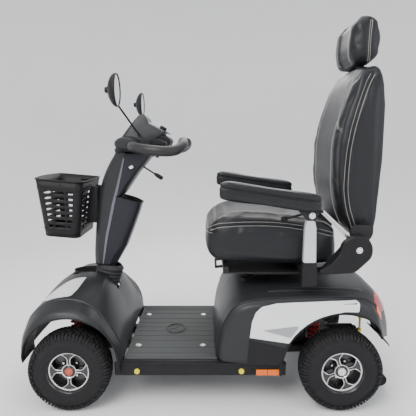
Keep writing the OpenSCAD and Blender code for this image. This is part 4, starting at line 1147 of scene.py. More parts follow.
class SCOOTER_OT_console(bpy.types.Operator):
    """The console head with its hood, display, speed dial, wings, throttle paddles and button"""
    bl_idname = "scooter.console"
    bl_label = "Console"

    def execute(self, context):
        bm = bmesh.new()
        hood = rounded([(392, 1006), (376, 1040), (344, 1086), (310, 1133), (284, 1162), (268, 1164), (253, 1147),
            (247, 1124), (200, 1101), (178, 1086), (196, 1070), (240, 1048), (262, 1012)], 14, 6)
        slab(bm, hood, -86, 86, 11, 4)
        for v in bm.verts:
            v.co.y *= ramp(v.co.z, [(1010, 0.98), (1060, 1.0), (1110, 0.90), (1165, 0.66)])
        settle("console_hood", bm, body_paint(), "tiller", "body_plastic", ("console",), smooth=50)
        bm = bmesh.new()
        keel = rounded([(262, 1004), (258, 1060), (246, 1098), (206, 1086), (160, 1064), (154, 1052), (162, 1030),
            (206, 1008)], 10, 5)
        slab(bm, keel, -80, 80, 7, 3)
        settle("console_pod", bm, moulding(), "tiller", "black_plastic", smooth=50)
        # sloping top face, display and dial
        bm = bmesh.new()
        block(bm, (-38, -66, -2), (62, 66, 1.2), 3, 3)
        bmesh.ops.transform(bm, matrix=CONSOLE_SLOPE, verts=bm.verts)
        settle("console_face", bm, dark_side(), "tiller", "black_plastic")
        bm = bmesh.new()
        block(bm, (16, -54, 1.0), (56, 54, 4.2), 2.2, 3)
        bmesh.ops.transform(bm, matrix=CONSOLE_SLOPE, verts=bm.verts)
        settle("display_frame", bm, finish("display_frame_silver", (0.62, 0.64, 0.68), 0.18, metal=0.3, coat=0.8,
            mottle=0.08), "tiller", "silver_plastic")
        bm = bmesh.new()
        block(bm, (21, -47, 4.0), (51, 47, 4.8), 0.3, 1)
        bmesh.ops.transform(bm, matrix=CONSOLE_SLOPE, verts=bm.verts)
        settle("display_glass", bm, lens("display_glass", (0.20, 0.24, 0.27), 0.06), "tiller", "silver_plastic")
        bm = bmesh.new()
        turned(bm, [(0, 16.5), (10.5, 16.4), (13.4, 15.2), (14.4, 12.5), (14.8, 4), (16.8, 1.4), (16.8, 0.5),
            (0, 0.5)], Vector(), Vector((0, 0, 1)), 40)
        for k in range(20):
            a = k * math.tau / 20
            tube(bm, [Vector((14.3 * math.cos(a), 14.3 * math.sin(a), z)) for z in (3.5, 13)], 0.9, 5)
        block(bm, (-1.4, -13, 16), (1.4, -1, 17.6), 0.5, 1)
        bmesh.ops.transform(bm, matrix=CONSOLE_SLOPE, verts=bm.verts)
        settle("speed_knob", bm, moulding(), "speed_dial", "black_plastic", ("speed_dial",))
        # wings round the roots of the bar
        bm = patch(36, 24, lambda u, v: Vector((
            along([Vector((cx, cz)) for cx, cz in ((330, 1040), (330, 1040), (324, 1037), (309, 1034), (300, 1032))],
                v).x + ramp(v, [(0, 58), (0.5, 52), (1, 25)]) * math.cos(u * math.tau),
            78 + 66 * v,
            along([Vector((cx, cz)) for cx, cz in ((330, 1040), (330, 1040), (324, 1037), (309, 1034), (300, 1032))],
                v).y + ramp(v, [(0, 32), (0.5, 29), (1, 24)]) * math.sin(u * math.tau))))
        mirrored(bm, 0)
        settle("console_wings", bm, body_paint(), "tiller", "body_plastic", wall=3, smooth=60)
        bm = bmesh.new()
        turned(bm, [(19.7, 142), (25.2, 142), (26.2, 145), (25.2, 149), (19.7, 150), (19.7, 142)],
            Vector((300, 0, 1032)), Vector((0, 1, 0)), 40)
        mirrored(bm, 0)
        settle("bar_collars", bm, moulding(), "tiller", "black_plastic")
        bm = bmesh.new()
        for s in (1, -1):
            slab(bm, rounded([(224, 1043), (224, 1060), (206, 1061), (170, 1047), (166, 1041), (170, 1035),
                (206, 1042)], 4), *((94, 144) if s > 0 else (-144, -94)), 2.4, 3)
        tube(bm, [Vector((215, y, 1052)) for y in (-116, -60, 0, 60, 116)], 5.3, 12, True)
        settle("throttle_paddles_moulded", bm, moulding(), "throttle", "black_plastic", ("throttle_paddles",))
        bm = bmesh.new()
        turned(bm, [(0, 5.4), (5.5, 5.0), (7.4, 3.6), (7.8, 0.5), (7.8, -9)], Vector((6, -46, 0)), Vector((0, 0, 1)),
            24)
        bmesh.ops.transform(bm, matrix=CONSOLE_SLOPE, verts=bm.verts)
        settle("horn_push", bm, lens("button_red", (0.42, 0.02, 0.02), 0.3), "horn_button", "button_red",
            ("horn_button",))
        bm = bmesh.new()
        turned(bm, [(9.2, 1.0), (10.6, 2.2), (11.6, 1.0)], Vector((6, -46, 0)), Vector((0, 0, 1)), 24)
        for y in (-24, -4, 46):
            turned(bm, [(0, 3.0), (4.5, 2.8), (6.0, 1.2), (6, 0.5)], Vector((-22, y, 0)), Vector((0, 0, 1)), 20)
        bmesh.ops.transform(bm, matrix=CONSOLE_SLOPE, verts=bm.verts)
        settle("console_buttons", bm, moulding(), "tiller", "black_plastic")
        return {"FINISHED"}


BAR = [(300, 140, 1032), (299.5, 158, 1031.6), (298, 176, 1031), (292, 196, 1029.5), (284, 214, 1028),
    (272, 233, 1025.5), (258, 248, 1023), (241, 262, 1020),
       (222, 272, 1018), (202, 278, 1015.5), (182, 280, 1014), (163, 278, 1013), (146, 273, 1013), (129, 263, 1015),
           (116, 250, 1019), (106, 233, 1026), (99, 214, 1034), (97, 192, 1041), (98, 172, 1047)]


class SCOOTER_OT_handlebar(bpy.types.Operator):
    """The looped handlebar with its padded sleeve, post and tilt lever"""
    bl_idname = "scooter.handlebar"
    bl_label = "Handlebar"

    def execute(self, context):
        r = sizes().bar_radius / MM
        bm = bmesh.new()
        for s in (1, -1):
            path = [Vector((p.x, s * p.y, p.z)) for p in line(BAR, 72)]
            tube(bm, path, r, 28, False)
            end, back = path[-1], (path[-1] - path[-3]).normalized()
            turned(bm, [(r, 0), (r + 0.3, 1.5), (r - 1.5, 3.6), (r - 4.5, 4.2), (r - 7.5, 2.6), (r - 8, -6), (0, -7)],
                end, back, 28)
        settle("handlebar_sleeve", bm, finish("bar_soft_grey", (0.020, 0.020, 0.021), 0.42, shine=0.3, mottle=0.2,
            mottle_scale=30, grain=0.4, grain_scale=800), "tiller", "grip", ("handlebar",), smooth=60)
        bm = bmesh.new()
        tube(bm, [Vector((300, y, 1032)) for y in (-141, -60, 60, 141)], 18.6, 24)
        tube(bm, line([Vector((440, 0, 502)), Vector((425, 0, 640)), Vector((406, 0, 800)), Vector((352, 0, 960)),
            Vector((304, 0, 1027))], 24), 13.6, 16, True, Vector((0, 1, 0)))
        tube(bm, [Vector((440, y, 490)) for y in (-29, 0, 29)], 20, 24)
        block(bm, (300, 12, 956), (352, 20, 972), 1)
        tube(bm, [Vector((308, y, 964)) for y in (19, 38)], 3.8, 12)
        settle("tiller_post", bm, powder_coat(), "tiller", "frame_paint")
        bm = bmesh.new()
        for s in (1, -1):
            tube(bm, [Vector((206, s * 250, 1004)), Vector((206, s * 250, 992))], [5, 4], 12)
            tube(bm, [Vector((189, s * 268, 998)), Vector((189, s * 268, 989))], [6.5, 5.5], 12)
        settle("bar_stubs", bm, moulding(), "tiller", "black_plastic")
        bm = bmesh.new()
        tube(bm, [Vector((308, y, 964)) for y in (23, 37)], 7.9, 20)
        tube(bm, [Vector((302, 30, 960)), Vector((258, 30, 932)), Vector((226, 30, 911.6))], 3.6, 12)
        grip = line([Vector((228, 30, 913)), Vector((214, 30, 904)), Vector((202, 30, 896.4)),
            Vector((194, 30, 891.3))], 12)
        tube(bm, grip, [5.5, 7.4, 8.4, 8.8, 9, 9, 9, 9, 9, 8.8, 8.2, 6.6, 3.0], 16)
        for k in range(4):
            p = grip[4 + 2 * k]
            tube(bm, [p, p + (grip[-1] - grip[0]).normalized() * 1.4], 9.5, 16)
        settle("tilt_lever_knobbed", bm, moulding(), "tilt_lever", "black_plastic", ("tilt_lever",))
        return {"FINISHED"}


class SCOOTER_OT_mirrors(bpy.types.Operator):
    """Two round mirrors on thin stems"""
    bl_idname = "scooter.mirrors"
    bl_label = "Mirrors"

    def execute(self, context):
        r = sizes().mirror_radius / MM
        for name, s in SIDES:
            body = "mirror_" + name
            bm = bmesh.new()
            centre = Vector((330, 310 * s, 1230))
            turned(bm, [(0, 27), (8, 26.5), (18, 25), (32, 20.5), (44, 14.5), (53, 8), (r - 1, 1), (r, -4),
                (r - 1, -8.5), (r - 3.4, -9), (r - 4.5, -6.5)], centre, Vector((1, 0, 0)), 56)
            turned(bm, [(0, 38), (9, 37), (11, 33), (11, 22)], centre, Vector((1, 0, 0)), 24)
            stem = line([Vector((275, 126 * s, 1074)), Vector((277, 132 * s, 1079)), Vector((287, 160 * s, 1097)),
                Vector((308, 232 * s, 1142)), Vector((327, 288 * s, 1180)),
                         Vector((338, 306 * s, 1200)), Vector((352, 310 * s, 1222))], 36)
            tube(bm, stem, 3.7, 10)
            turned(bm, [(0, 15), (5, 15), (7, 13), (7.6, 5), (9.6, 3.4), (9.8, 0), (0, 0)],
                Vector((275, 126 * s, 1064.6)), Vector((0, 0, 1)), 24)
            ball(bm, Vector((351, 310 * s, 1222)), 7)
            settle("mirror_shell_" + name, bm, moulding(), body, "black_plastic", ("mirror_" + name,), smooth=50)
            bm = bmesh.new()
            turned(bm, [(0, -8.2), (20, -7.9), (40, -7.2), (r - 4, -6.2), (r - 4, -5), (0, -5)], centre,
                Vector((1, 0, 0)), 56)
            settle("mirror_glass_" + name, bm, finish("mirror_glass", (0.86, 0.88, 0.88), 0.04, metal=1.0,
                mottle=0.02, spread=0.01, grain=0.01), body, "steel", smooth=50)
        return {"FINISHED"}


# ---- basket ----
BASKET_ROWS = (0.0, 0.155, 0.19, 0.233, 0.29, 0.333, 0.39, 0.433, 0.49, 0.533, 0.59, 0.633, 0.69, 0.733, 0.79, 0.833,
    0.87, 1.0)
SLOT_ROWS = (2, 4, 6, 8, 10, 12, 14)
# Column edges of one wall: corner, three slot groups and the ribs between them.
WALL_STOPS = (0, 0.03, 0.06, 0.09, 0.115, 0.20, 0.295, 0.345, 0.42, 0.50, 0.58, 0.655, 0.705, 0.80, 0.885, 0.91, 0.94,
    0.97, 1.0)
WALL_COLUMNS = len(WALL_STOPS) - 1
SLOT_COLUMNS = (4, 5, 7, 8, 9, 10, 12, 13)
BASKET_TIP = Matrix.Translation((592, 0, 893)) @ Matrix.Rotation(math.radians(-4.8), 4, "Y")


def basket_ring(v):
    """Corners of the tub's plan at share v of its depth, in the rim's own level."""
    z = -236 * v
    return (-85 + 11 * v, 108 - 38 * v, 122 - 37 * v, 162 - 34 * v, z)


def basket_wall(u, v):
    """u runs once round the tub: rear, left, front and right walls, a quarter each."""
    rear, nose_side, nose, half, z = basket_ring(v)
    wall, f = int(min(u, 0.99999) * 4), (u * 4) % 1 if u < 1 else 1.0
    corner = 28
    straight = 0.82
    edge = (1 - straight) / 2

    def arc(cx, cy, start, share):
        a = start + share * math.pi / 4
        return Vector((cx + corner * math.cos(a), cy + corner * math.sin(a), z))

    xr, xf, yh = rear + corner, nose_side - corner, half - corner
    bow = nose - nose_side
    if wall == 0:
        if f < edge:
            return arc(xr, -yh, -math.pi * 3 / 4, -f / edge)
        if f > 1 - edge:
            return arc(xr, yh, math.pi, -(f - 1 + edge) / edge)
        return Vector((rear, -yh + 2 * yh * (f - edge) / straight, z))
    if wall == 1:
        if f < edge:
            return arc(xr, yh, math.pi * 3 / 4, -f / edge)
        if f > 1 - edge:
            return arc(xf, yh, math.pi / 2, -(f - 1 + edge) / edge)
        return Vector((xr + (xf - xr) * (f - edge) / straight, half, z))
    if wall == 2:
        if f < edge:
            return arc(xf, yh, math.pi / 4, -f / edge)
        if f > 1 - edge:
            return arc(xf, -yh, 0, -(f - 1 + edge) / edge)
        g = (f - edge) / straight
        return Vector((nose_side + bow * 4 * g * (1 - g), yh - 2 * yh * g, z))
    if f < edge:
        return arc(xf, -yh, -math.pi / 4, -f / edge)
    if f > 1 - edge:
        return arc(xr, -yh, -math.pi / 2, -(f - 1 + edge) / edge)
    return Vector((xf - (xf - xr) * (f - edge) / straight, -half, z))


class SCOOTER_OT_basket(bpy.types.Operator):
    """The slotted plastic basket with its rim band and folding bail"""
    bl_idname = "scooter.basket"
    bl_label = "Basket"

    def execute(self, context):
        columns = [(w + s) / 4 for w in range(4) for s in WALL_STOPS[:-1]] + [1.0]
        nu, nv = len(columns) - 1, len(BASKET_ROWS) - 1
        bm = bmesh.new()
        bmesh.ops.create_grid(bm, x_segments=nu, y_segments=nv, size=0.5)
        cell = {}
        for f in bm.faces:
            c = f.calc_center_median()
            cell[f] = (int((c.x + 0.5) * nu), int((c.y + 0.5) * nv))
        gone = [f for f, (i, j) in cell.items() if i % WALL_COLUMNS in SLOT_COLUMNS and j in SLOT_ROWS]
        for v in bm.verts:
            i, j = round((v.co.x + 0.5) * nu), round((v.co.y + 0.5) * nv)
            u, depth = columns[i], BASKET_ROWS[j]
            k = i % WALL_COLUMNS
            if k in (6, 7):
                u -= 0.012 * (depth - 0.35) * 1.6
            if k in (11, 12):
                u += 0.012 * (depth - 0.35) * 1.6
            v.co = basket_wall(u, depth)
        bmesh.ops.delete(bm, geom=gone, context="FACES")
        bmesh.ops.remove_doubles(bm, verts=bm.verts, dist=0.05)
        bmesh.ops.transform(bm, matrix=BASKET_TIP, verts=bm.verts)
        settle("basket_walls", bm, moulding(), "basket", "black_plastic", ("basket",), wall=2.6, smooth=40)
        # floor with drain slots, and the rounded foot
        bm = bmesh.new()
        ring = [basket_wall(k / 72, 1.0) for k in range(72)]
        slab(bm, [(p.x, p.y) for p in ring], -238, -234.5, 1.2, 2, plane="xy")
        for k in range(5):
            block(bm, (-56 + k * 26, -96, -234.8), (-50 + k * 26, 96, -232.6), 0.8, 1)
        for x in (-52, 60):
            for y in (-96, 96):
                turned(bm, [(0, -242), (5, -241.6), (6.5, -238)], Vector((x, y, 0)), Vector((0, 0, 1)), 16)
        bmesh.ops.transform(bm, matrix=BASKET_TIP, verts=bm.verts)
        settle("basket_floor", bm, moulding(), "basket", "black_plastic")
        # rim band and its rolled edges, standing proud of the wall
        bm = bmesh.new()
        for depth, thick in ((0.0, 3.0), (0.158, 1.8), (0.868, 1.5)):
            ring = [basket_wall(k / 120, depth) for k in range(121)]
            grow = [Vector((p.x, p.y, p.z)) + Vector((p.x - 18, p.y, 0)).normalized() * 0.9 for p in ring]
            tube(bm, grow, thick, 8, False)
        bmesh.ops.transform(bm, matrix=BASKET_TIP, verts=bm.verts)
        settle("basket_rim", bm, moulding(), "basket", "black_plastic", smooth=60)
        bm = bmesh.new()
        bail = [Vector((4, 152, -16)), Vector((-30, 152, -16)), Vector((-50, 151, -16)), Vector((-55, 146, -16)),
            Vector((-55.5, 120, -16)), Vector((-55.5, 0, -16))]
        left = line(bail, 40)
        tube(bm, left + [Vector((p.x, -p.y, p.z)) for p in reversed(left[:-1])], 3.4, 12)
        for s in (1, -1):
            tube(bm, [Vector((0, s * 149, -16)), Vector((0, s * 162, -16))], 3.5, 12)
        bmesh.ops.transform(bm, matrix=BASKET_TIP, verts=bm.verts)
        settle("basket_bail_bar", bm, moulding(), "basket_handle", "black_plastic", ("basket_handle",))
        bm = bmesh.new()
        for s in (1, -1):
            slab(bm, rounded([(474, 858), (476, 702), (528, 702), (525, 734), (509, 842), (502, 848), (499, 862)], 4),
                *((31, 41) if s > 0 else (-41, -31)), 2, 2)
        settle("basket_hooks", bm, moulding(), "tiller", "black_plastic")
        return {"FINISHED"}


# ---- seat, backrest and headrest ----
SEAT_TOP = [(-525, 726), (-460, 741), (-408, 747), (-300, 764), (-208, 774), (-115, 776), (-60, 766), (-21, 752),
    (6, 730), (20, 712)]
SEAT_FOOT = [(-525, 566), (-362, 562), (-50, 574), (-15, 580), (5, 600), (20, 636)]
BACK_FRONT = [(668, -566), (693, -556), (777, -522), (840, -509), (901, -503), (1043, -503), (1100, -513),
    (1182, -534), (1260, -556), (1331, -578), (1352, -586)]
BACK_REAR = [(668, -650), (700, -664), (829, -672), (982, -681), (1181, -681), (1287, -672), (1330, -664),
    (1352, -658)]


def seat_form(x, y, z):
    px = -252 + 266 * x
    top, foot = bulge(px, SEAT_TOP) - 7, ramp(px, SEAT_FOOT) + 1
    hollow = 9 * math.cos(min(1, abs(y) / 0.8) * math.pi / 2) * bulge(px, [(-460, 0), (-250, 1), (-90, 0.4), (0, 0)])
    mid, half = (top + foot) / 2, (top - foot) / 2
    waist = 1 - 0.035 * (1 - z * z) - 0.02 * max(0, -z)
    return Vector((px, 243 * y * waist, mid + half * z - (hollow if z > 0 else 0) * max(0, z)))


def back_form(x, y, z):
    pz = 1009 + 341 * z
    front, rear = ramp(pz, BACK_FRONT) - 5, ramp(pz, BACK_REAR) + 4
    f = (x + 1) / 2
    wings = 12 * abs(y) ** 3 * bulge(pz, [(760, 0), (900, 1), (1120, 1), (1260, 0)])
    width = bulge(pz, [(668, 206), (760, 220), (1000, 222), (1180, 220), (1270, 215), (1352, 200)])
    return Vector((rear + (front - rear) * f + (wings if x > 0 else 0) * f, width * y,
        pz - 16 * y * y * max(0, z) ** 3))


def head_form(x, y, z):
    pz = 1447 + 97 * z
    front = bulge(pz, [(1350, -584), (1390, -578), (1429, -575), (1498, -580), (1544, -604)])
    rear = bulge(pz, [(1350, -640), (1390, -672), (1450, -676), (1512, -664), (1544, -636)])
    f = (x + 1) / 2
    wing = 9 * bulge(abs(y), [(0.35, 0), (0.62, 1), (0.9, 1), (1.0, 0.2)]) * f
    width = bulge(pz, [(1350, 118), (1400, 133), (1490, 137), (1544, 124)])
    return Vector((rear + (front - rear) * f + wing, width * y, pz))


def pad_form(side):
    def place(x, y, z):
        px = -232 + 190 * x
        top = ramp(px, [(-421, 851), (-400, 856), (-67, 905), (-42, 898)])
        foot = ramp(px, [(-421, 794), (-344, 793), (-47, 836)])
        return Vector((px, side * (292 + 23 * y * (1 - 0.03 * (1 - z * z))), (top + foot) / 2 + (top - foot) / 2 * z))
    return place


def creased(piece, lines_on, depth, width):
    """Draws the surface in along its seams."""
    points = [p for one in lines_on for p, _ in one]
    tree = KDTree(len(points))
    for i, p in enumerate(points):
        tree.insert(p, i)
    tree.balance()
    for v in piece.data.vertices:
        here = v.co / MM
        _, _, gap = tree.find(here)
        if gap < width:
            v.co -= v.normal * (depth * (1 - (gap / width) ** 2) ** 2 * MM)
    piece.data.update()


def smoothed_path(path, rounds=3):
    for _ in range(rounds):
        path = [path[0]] + [((a[0] + 2 * b[0] + c[0]) / 4, b[1]) for a, b,
            c in zip(path, path[1:], path[2:])] + [path[-1]]
    return path


def sewn(name, body, paths, welt=2.3, rows=(-7.5, 7.5), slot="leather"):
    """Piping along each seam with a row of stitches on either side of it."""
    pitch = sizes().stitch_pitch / MM
    bm = bmesh.new()
    if welt:
        for path in paths:
            tube(bm, [p + n * 0.4 for p, n in path], welt, 8)
        settle(name + "_piping", bm, leather(), body, slot, smooth=60)
        bm = bmesh.new()
    for path in paths:
        for row in rows:
            beside = []
            for (a, na), (b, _) in zip(path, path[1:]):
                beside.append((a + (b - a).normalized().cross(na) * row, na))
            stitches(bm, beside, pitch, 0.5, 0.85)
    if rows:
        settle(name + "_stitches", bm, thread(), body, slot, smooth=60, clean=False)
    else:
        bm.free()


class SCOOTER_OT_seat(bpy.types.Operator):
    """The seat cushion with its piped and stitched seams"""
    bl_idname = "scooter.seat"
    bl_label = "Seat cushion"

    def execute(self, context):
        cushion = settle("seat_cushion_leather", pillow(seat_form, 15, 9.0), leather(), "seat", "leather",
            ("seat_cushion",))
        puffed(cushion, 6, sizes().cushion_swell * 0.7, held=lambda p: 1.0 if p.z < 585 else 0.0)
        surface = surface_of(cushion)
        seams = []
        for s in (1, -1):
            side = [Vector((x, s * 300, z)) for x, z in ((8, 699), (-22, 716), (-49, 725), (-130, 731), (-223, 731),
                (-290, 727), (-357, 718), (-440, 702), (-512, 680))]
            seams.append(smoothed_path(traced(surface, side, (0, -s, 0), 90)))
            upper = [Vector((x, s * 196, 900)) for x in (-496, -400, -250, -120, -34)]
            seams.append(smoothed_path(traced(surface, upper, (0, 0, -1), 80)))
        front = [Vector((100, y, 700)) for y in (-226, -120, 0, 120, 226)]
        seams.append(smoothed_path(traced(surface, front, (-1, 0, 0), 70)))
        across = [Vector((-30, y, 900)) for y in (-192, -90, 0, 90, 192)]
        seams.append(smoothed_path(traced(surface, across, (0, 0, -1), 60)))
        creased(cushion, seams, 3.0, 13)
        sewn("seat", "seat", seams[:1] + seams[2:3] + seams[4:5], 2.5)
        sewn("seat_top", "seat", seams[1:2] + seams[3:4] + seams[5:6], 0, (-4, 4))
        return {"FINISHED"}


class SCOOTER_OT_backrest(bpy.types.Operator):
    """The backrest cushion, its back panel and its seams"""
    bl_idname = "scooter.backrest"
    bl_label = "Backrest"

    def execute(self, context):
        cushion = settle("backrest_leather", pillow(back_form, 17, 16.0), leather(), "backrest", "leather",
            ("backrest_cushion",))
        puffed(cushion, 6, sizes().cushion_swell * 0.6, held=lambda p: 1.0 if p.x < -640 else 0.0)
        surface = surface_of(cushion)
        seams = []
        for s in (1, -1):
            front = [Vector((x - 20, s * 300, z)) for x, z in ((-562, 702), (-532, 777), (-517, 850), (-514, 901),
                (-520, 1023), (-535, 1110), (-556, 1188), (-583, 1264), (-606, 1305))]
            seams.append(smoothed_path(traced(surface, front, (0, -s, 0), 90)))
        for s in (1, -1):
            for drawn in (((118, 712), (122, 850), (126, 1000), (129, 1132)),
                    ((110, 1328), (117, 1278), (126, 1200), (138, 1142), (164, 1106), (204, 1088))):
                seams.append(smoothed_path(traced(surface, [Vector((-300, s * y, z)) for y, z in drawn], (-1, 0, 0),
                    80)))
        creased(cushion, seams, 3.0, 13)
        sewn("backrest_edge", "backrest", seams[:2], 2.5)
        sewn("backrest_front", "backrest", seams[2:], 0, (-4, 4))
        # moulded back panel
        bm = patch(30, 40, lambda u, v: Vector((
            ramp(690 + 600 * v, BACK_REAR) - 1.0 + 5 * abs(2 * u - 1) ** 6 + 5 * abs(2 * v - 1) ** 8,
            (2 * u - 1) * bulge(690 + 600 * v, [(690, 178), (760, 196), (1180, 192), (1290, 150)]), 690 + 600 * v)))
        settle("backrest_back_panel", bm, moulding(), "backrest", "black_plastic", ("backrest_shell",), wall=4,
            smooth=50)
        bm = bmesh.new()
        for s in (1, -1):
            slab(bm, rounded([(-548, 690), (-572, 646), (-612, 650), (-640, 690), (-640, 730), (-560, 730)], 12),
                *((236, 248) if s > 0 else (-248, -236)), 1.5, 2)
        settle("backrest_hinge_plates", bm, powder_coat(), "backrest", "frame_paint")
        return {"FINISHED"}


class SCOOTER_OT_headrest(bpy.types.Operator):
    """The headrest with its side wings on two bright posts"""
    bl_idname = "scooter.headrest"
    bl_label = "Headrest"

    def execute(self, context):
        cushion = settle("headrest_leather", pillow(head_form, 13, 8.0), leather(), "headrest", "leather",
            ("headrest",))
        puffed(cushion, 4.5, 0.005)
        surface = surface_of(cushion)
        seams = []
        for s in (1, -1):
            groove = [Vector((-300, s * y, z)) for y, z in ((70, 1372), (76, 1420), (76, 1480), (68, 1524))]
            seams.append(smoothed_path(traced(surface, groove, (-1, 0, 0), 40)))
            side = [Vector((x, s * 300, z)) for x, z in ((-634, 1366), (-628, 1410), (-628, 1470), (-634, 1522))]
            seams.append(smoothed_path(traced(surface, side, (0, -s, 0), 40)))
        creased(cushion, seams, 4.0, 10)
        sewn("headrest", "headrest", seams, 0, (-3.5, 3.5))
        bm = bmesh.new()
        for s in (1, -1):
            tube(bm, line([Vector((-634, s * 70, 1372)), Vector((-634, s * 70, 1300)), Vector((-634, s * 70, 1180))],
                8), 5.8, 16)
        settle("headrest_posts", bm, chrome(), "headrest", "steel")
        bm = bmesh.new()
        for s in (1, -1):
            turned(bm, [(6.3, 1350), (10.5, 1349), (12.5, 1346), (13, 1340), (11.5, 1326), (6.3, 1326)],
                Vector((-634, s * 70, 0)), Vector((0, 0, 1)), 28)
        settle("headrest_sockets", bm, moulding(), "backrest", "black_plastic")
        return {"FINISHED"}


def bolt_head(bm, x, y, z, side, radius=9.5):
    turned(bm, [(0, 3.4), (radius * 0.32, 3.4), (radius * 0.42, 5.4), (radius * 0.62, 5.0), (radius * 0.92, 2.6),
        (radius, 0), (radius, -2)], Vector((x, side * y, z)), Vector((0, side, 0)), 28)
    turned(bm, [(radius * 1.35, -1), (radius * 1.35, 0.8), (radius * 1.2, 1.2), (radius * 0.9, 1.2)],
        Vector((x, side * y, z)), Vector((0, side, 0)), 28)


class SCOOTER_OT_arms(bpy.types.Operator):
    """Armrest pads with their brackets and posts"""
    bl_idname = "scooter.arms"
    bl_label = "Armrests"

    def execute(self, context):
        for name, s in SIDES:
            pad = settle("armrest_pad_" + name, pillow(pad_form(s), 13, 12.0), leather(), "armrest_" + name,
                "leather", ("armrest_" + name,))
            puffed(pad, 4, 0.003)
            surface = surface_of(pad)
            grooves = []
            for side in (1, -1):
                groove = [Vector((x, s * 292 + side * 100, z)) for x,
                    z in ((-50, 882), (-150, 867), (-250, 852), (-412, 828))]
                grooves.append(smoothed_path(traced(surface, groove, (0, -side, 0), 70)))
            for x in (50, -600):
                end = [Vector((x, s * 292 + y, 883 if x > 0 else 827)) for y in (-20, 0, 20)]
                grooves.append(smoothed_path(traced(surface, end, (-1 if x > 0 else 1, 0, 0), 12)))
            creased(pad, grooves, 3.0, 7)
            sewn("armrest_" + name, "armrest_" + name, grooves[:2], 1.7, ())
            bm = bmesh.new()
            for low, high in ((272, 279), (291, 298)):
                slab(bm, rounded([(-420, 800), (-402, 752), (-376, 752), (-330, 802)], 9),
                    *((low, high) if s > 0 else (-high, -low)), 1.2, 2)
            settle("armrest_brackets_" + name, bm, powder_coat(), "armrest_" + name, "frame_paint")
            bm = bmesh.new()
            slab(bm, rounded([(-415, 500), (-357, 500), (-358, 590), (-414, 590)], 7),
                *((268, 302) if s > 0 else (-302, -268)), 3, 3)
            settle("arm_receiver_" + name, bm, moulding(), "arm_" + name, "black_plastic", ("arm_post_" + name,))
            bm = bmesh.new()
            slab(bm, rounded([(-411, 592), (-361, 592), (-364, 730), (-371, 756), (-400, 756), (-407, 730)], 8),
                *((270, 300) if s > 0 else (-300, -270)), 4, 4)
            settle("arm_cover_" + name, bm, finish("cover_silver", (0.60, 0.61, 0.63), 0.3, metal=0.4, coat=0.4,
                mottle=0.05), "arm_" + name, "silver_plastic")
            bm = bmesh.new()
            slab(bm, rounded([(-402, 740), (-376, 740), (-376, 785), (-402, 785)], 12),
                *((281, 289) if s > 0 else (-289, -281)), 0.8, 2)
            block(bm, (-396.8, 100 if s > 0 else -268, 539), (-373.2, 268 if s > 0 else -100, 554), 2)
            settle("arm_bar_" + name, bm, steel(), "arm_" + name, "steel")
            bm = bmesh.new()
            bolt_head(bm, -389, 302, 775, s, 9)
            tube(bm, [Vector((-389, s * y, 775)) for y in (268, 303)], 5, 16)
            settle("arm_bolt_" + name, bm, chrome(), "arm_" + name, "steel")
        return {"FINISHED"}


class SCOOTER_OT_hinges(bpy.types.Operator):
    """Recline hinge covers and the recline lever"""
    bl_idname = "scooter.hinges"
    bl_label = "Hinges and recline lever"

    def execute(self, context):
        outline = [(-430, 545), (-422, 560), (-467, 582), (-501, 625), (-514, 672), (-563, 700), (-606, 690),
            (-627, 652), (-624, 612), (-562, 552)]
        bm = bmesh.new()
        for s in (1, -1):
            slab(bm, rounded(outline, 18), *((262.5, 296) if s > 0 else (-296, -262.5)), 6, 4)
        settle("hinge_cover_shells", bm, moulding(), "seat", "black_plastic", ("hinge_covers",), smooth=45)
        bm = bmesh.new()
        for s in (1, -1):
            bolt_head(bm, -574, 295.5, 641, s, 9)
        settle("hinge_bolts", bm, chrome(), "seat", "steel")
        bm = bmesh.new()
        bar = line([Vector((-548, 259, 676)), Vector((-520, 259, 707)), Vector((-487, 259, 737)),
            Vector((-438, 259, 783))], 16)
        tube(bm, bar, 8, 12, True, Vector((0, 1, 0)), 0.26)
        for v in bm.verts:
            v.co.y = 259 + max(-2, min(2, (v.co.y - 259)))
        settle("recline_bar", bm, steel(), "recline_lever", "steel", ("recline_lever",))
        bm = bmesh.new()
        rod = line([Vector((-440, 259, 782)), Vector((-414, 258, 789)), Vector((-380, 255, 779)),
            Vector((-306, 250, 757))], 20)
        tube(bm, rod, 4.5, 12)
        ball(bm, Vector((-294, 250, 754)), 13, (1, 1, 1))
        settle("recline_knob", bm, moulding(), "recline_lever", "black_plastic")
        return {"FINISHED"}


class SCOOTER_OT_chassis(bpy.types.Operator):
    """Finishes for the frame, suspension, drive and seat base"""
    bl_idname = "scooter.chassis"
    bl_label = "Chassis finishes"

    def execute(self, context):
        for start, made in (("main_frame", powder_coat()), ("floor_pan", powder_coat()),
                ("power_pack", finish("battery_case", (0.022, 0.023, 0.026), 0.5, mottle=0.2)),
                            ("spring", spring_red()), ("front_spring", spring_red()), ("rear_spring", spring_red()),
                                ("front_arm", powder_coat()), ("knuckle", steel()), ("track_rod", steel()),
                            ("rear_swing", powder_coat()), ("transaxle",
                                finish("cast_alloy", (0.30, 0.30, 0.31), 0.5, metal=0.9, mottle=0.25, grain=0.6,
                                grain_scale=300, grain_depth=0.0006)),
                            ("freewheel", signal_yellow()), ("anti_tip", tyre_rubber()),
                                ("steering_column", powder_coat()), ("seat_post", steel()), ("swivel", powder_coat()),
                            ("seat_frame", powder_coat()), ("slide_lever", moulding()), ("swivel_lever", moulding())):
            dress(made, *[name for name in NODES if name.startswith(start)])
        return {"FINISHED"}


# The eye is 1.92 m out on the left, 1.043 m up, and looks a little down.
EYE_PLACE, EYE_TURN, EYE_LENS = (0, 1.92, 1.043), (math.radians(81.62), 0, math.pi), 38.1


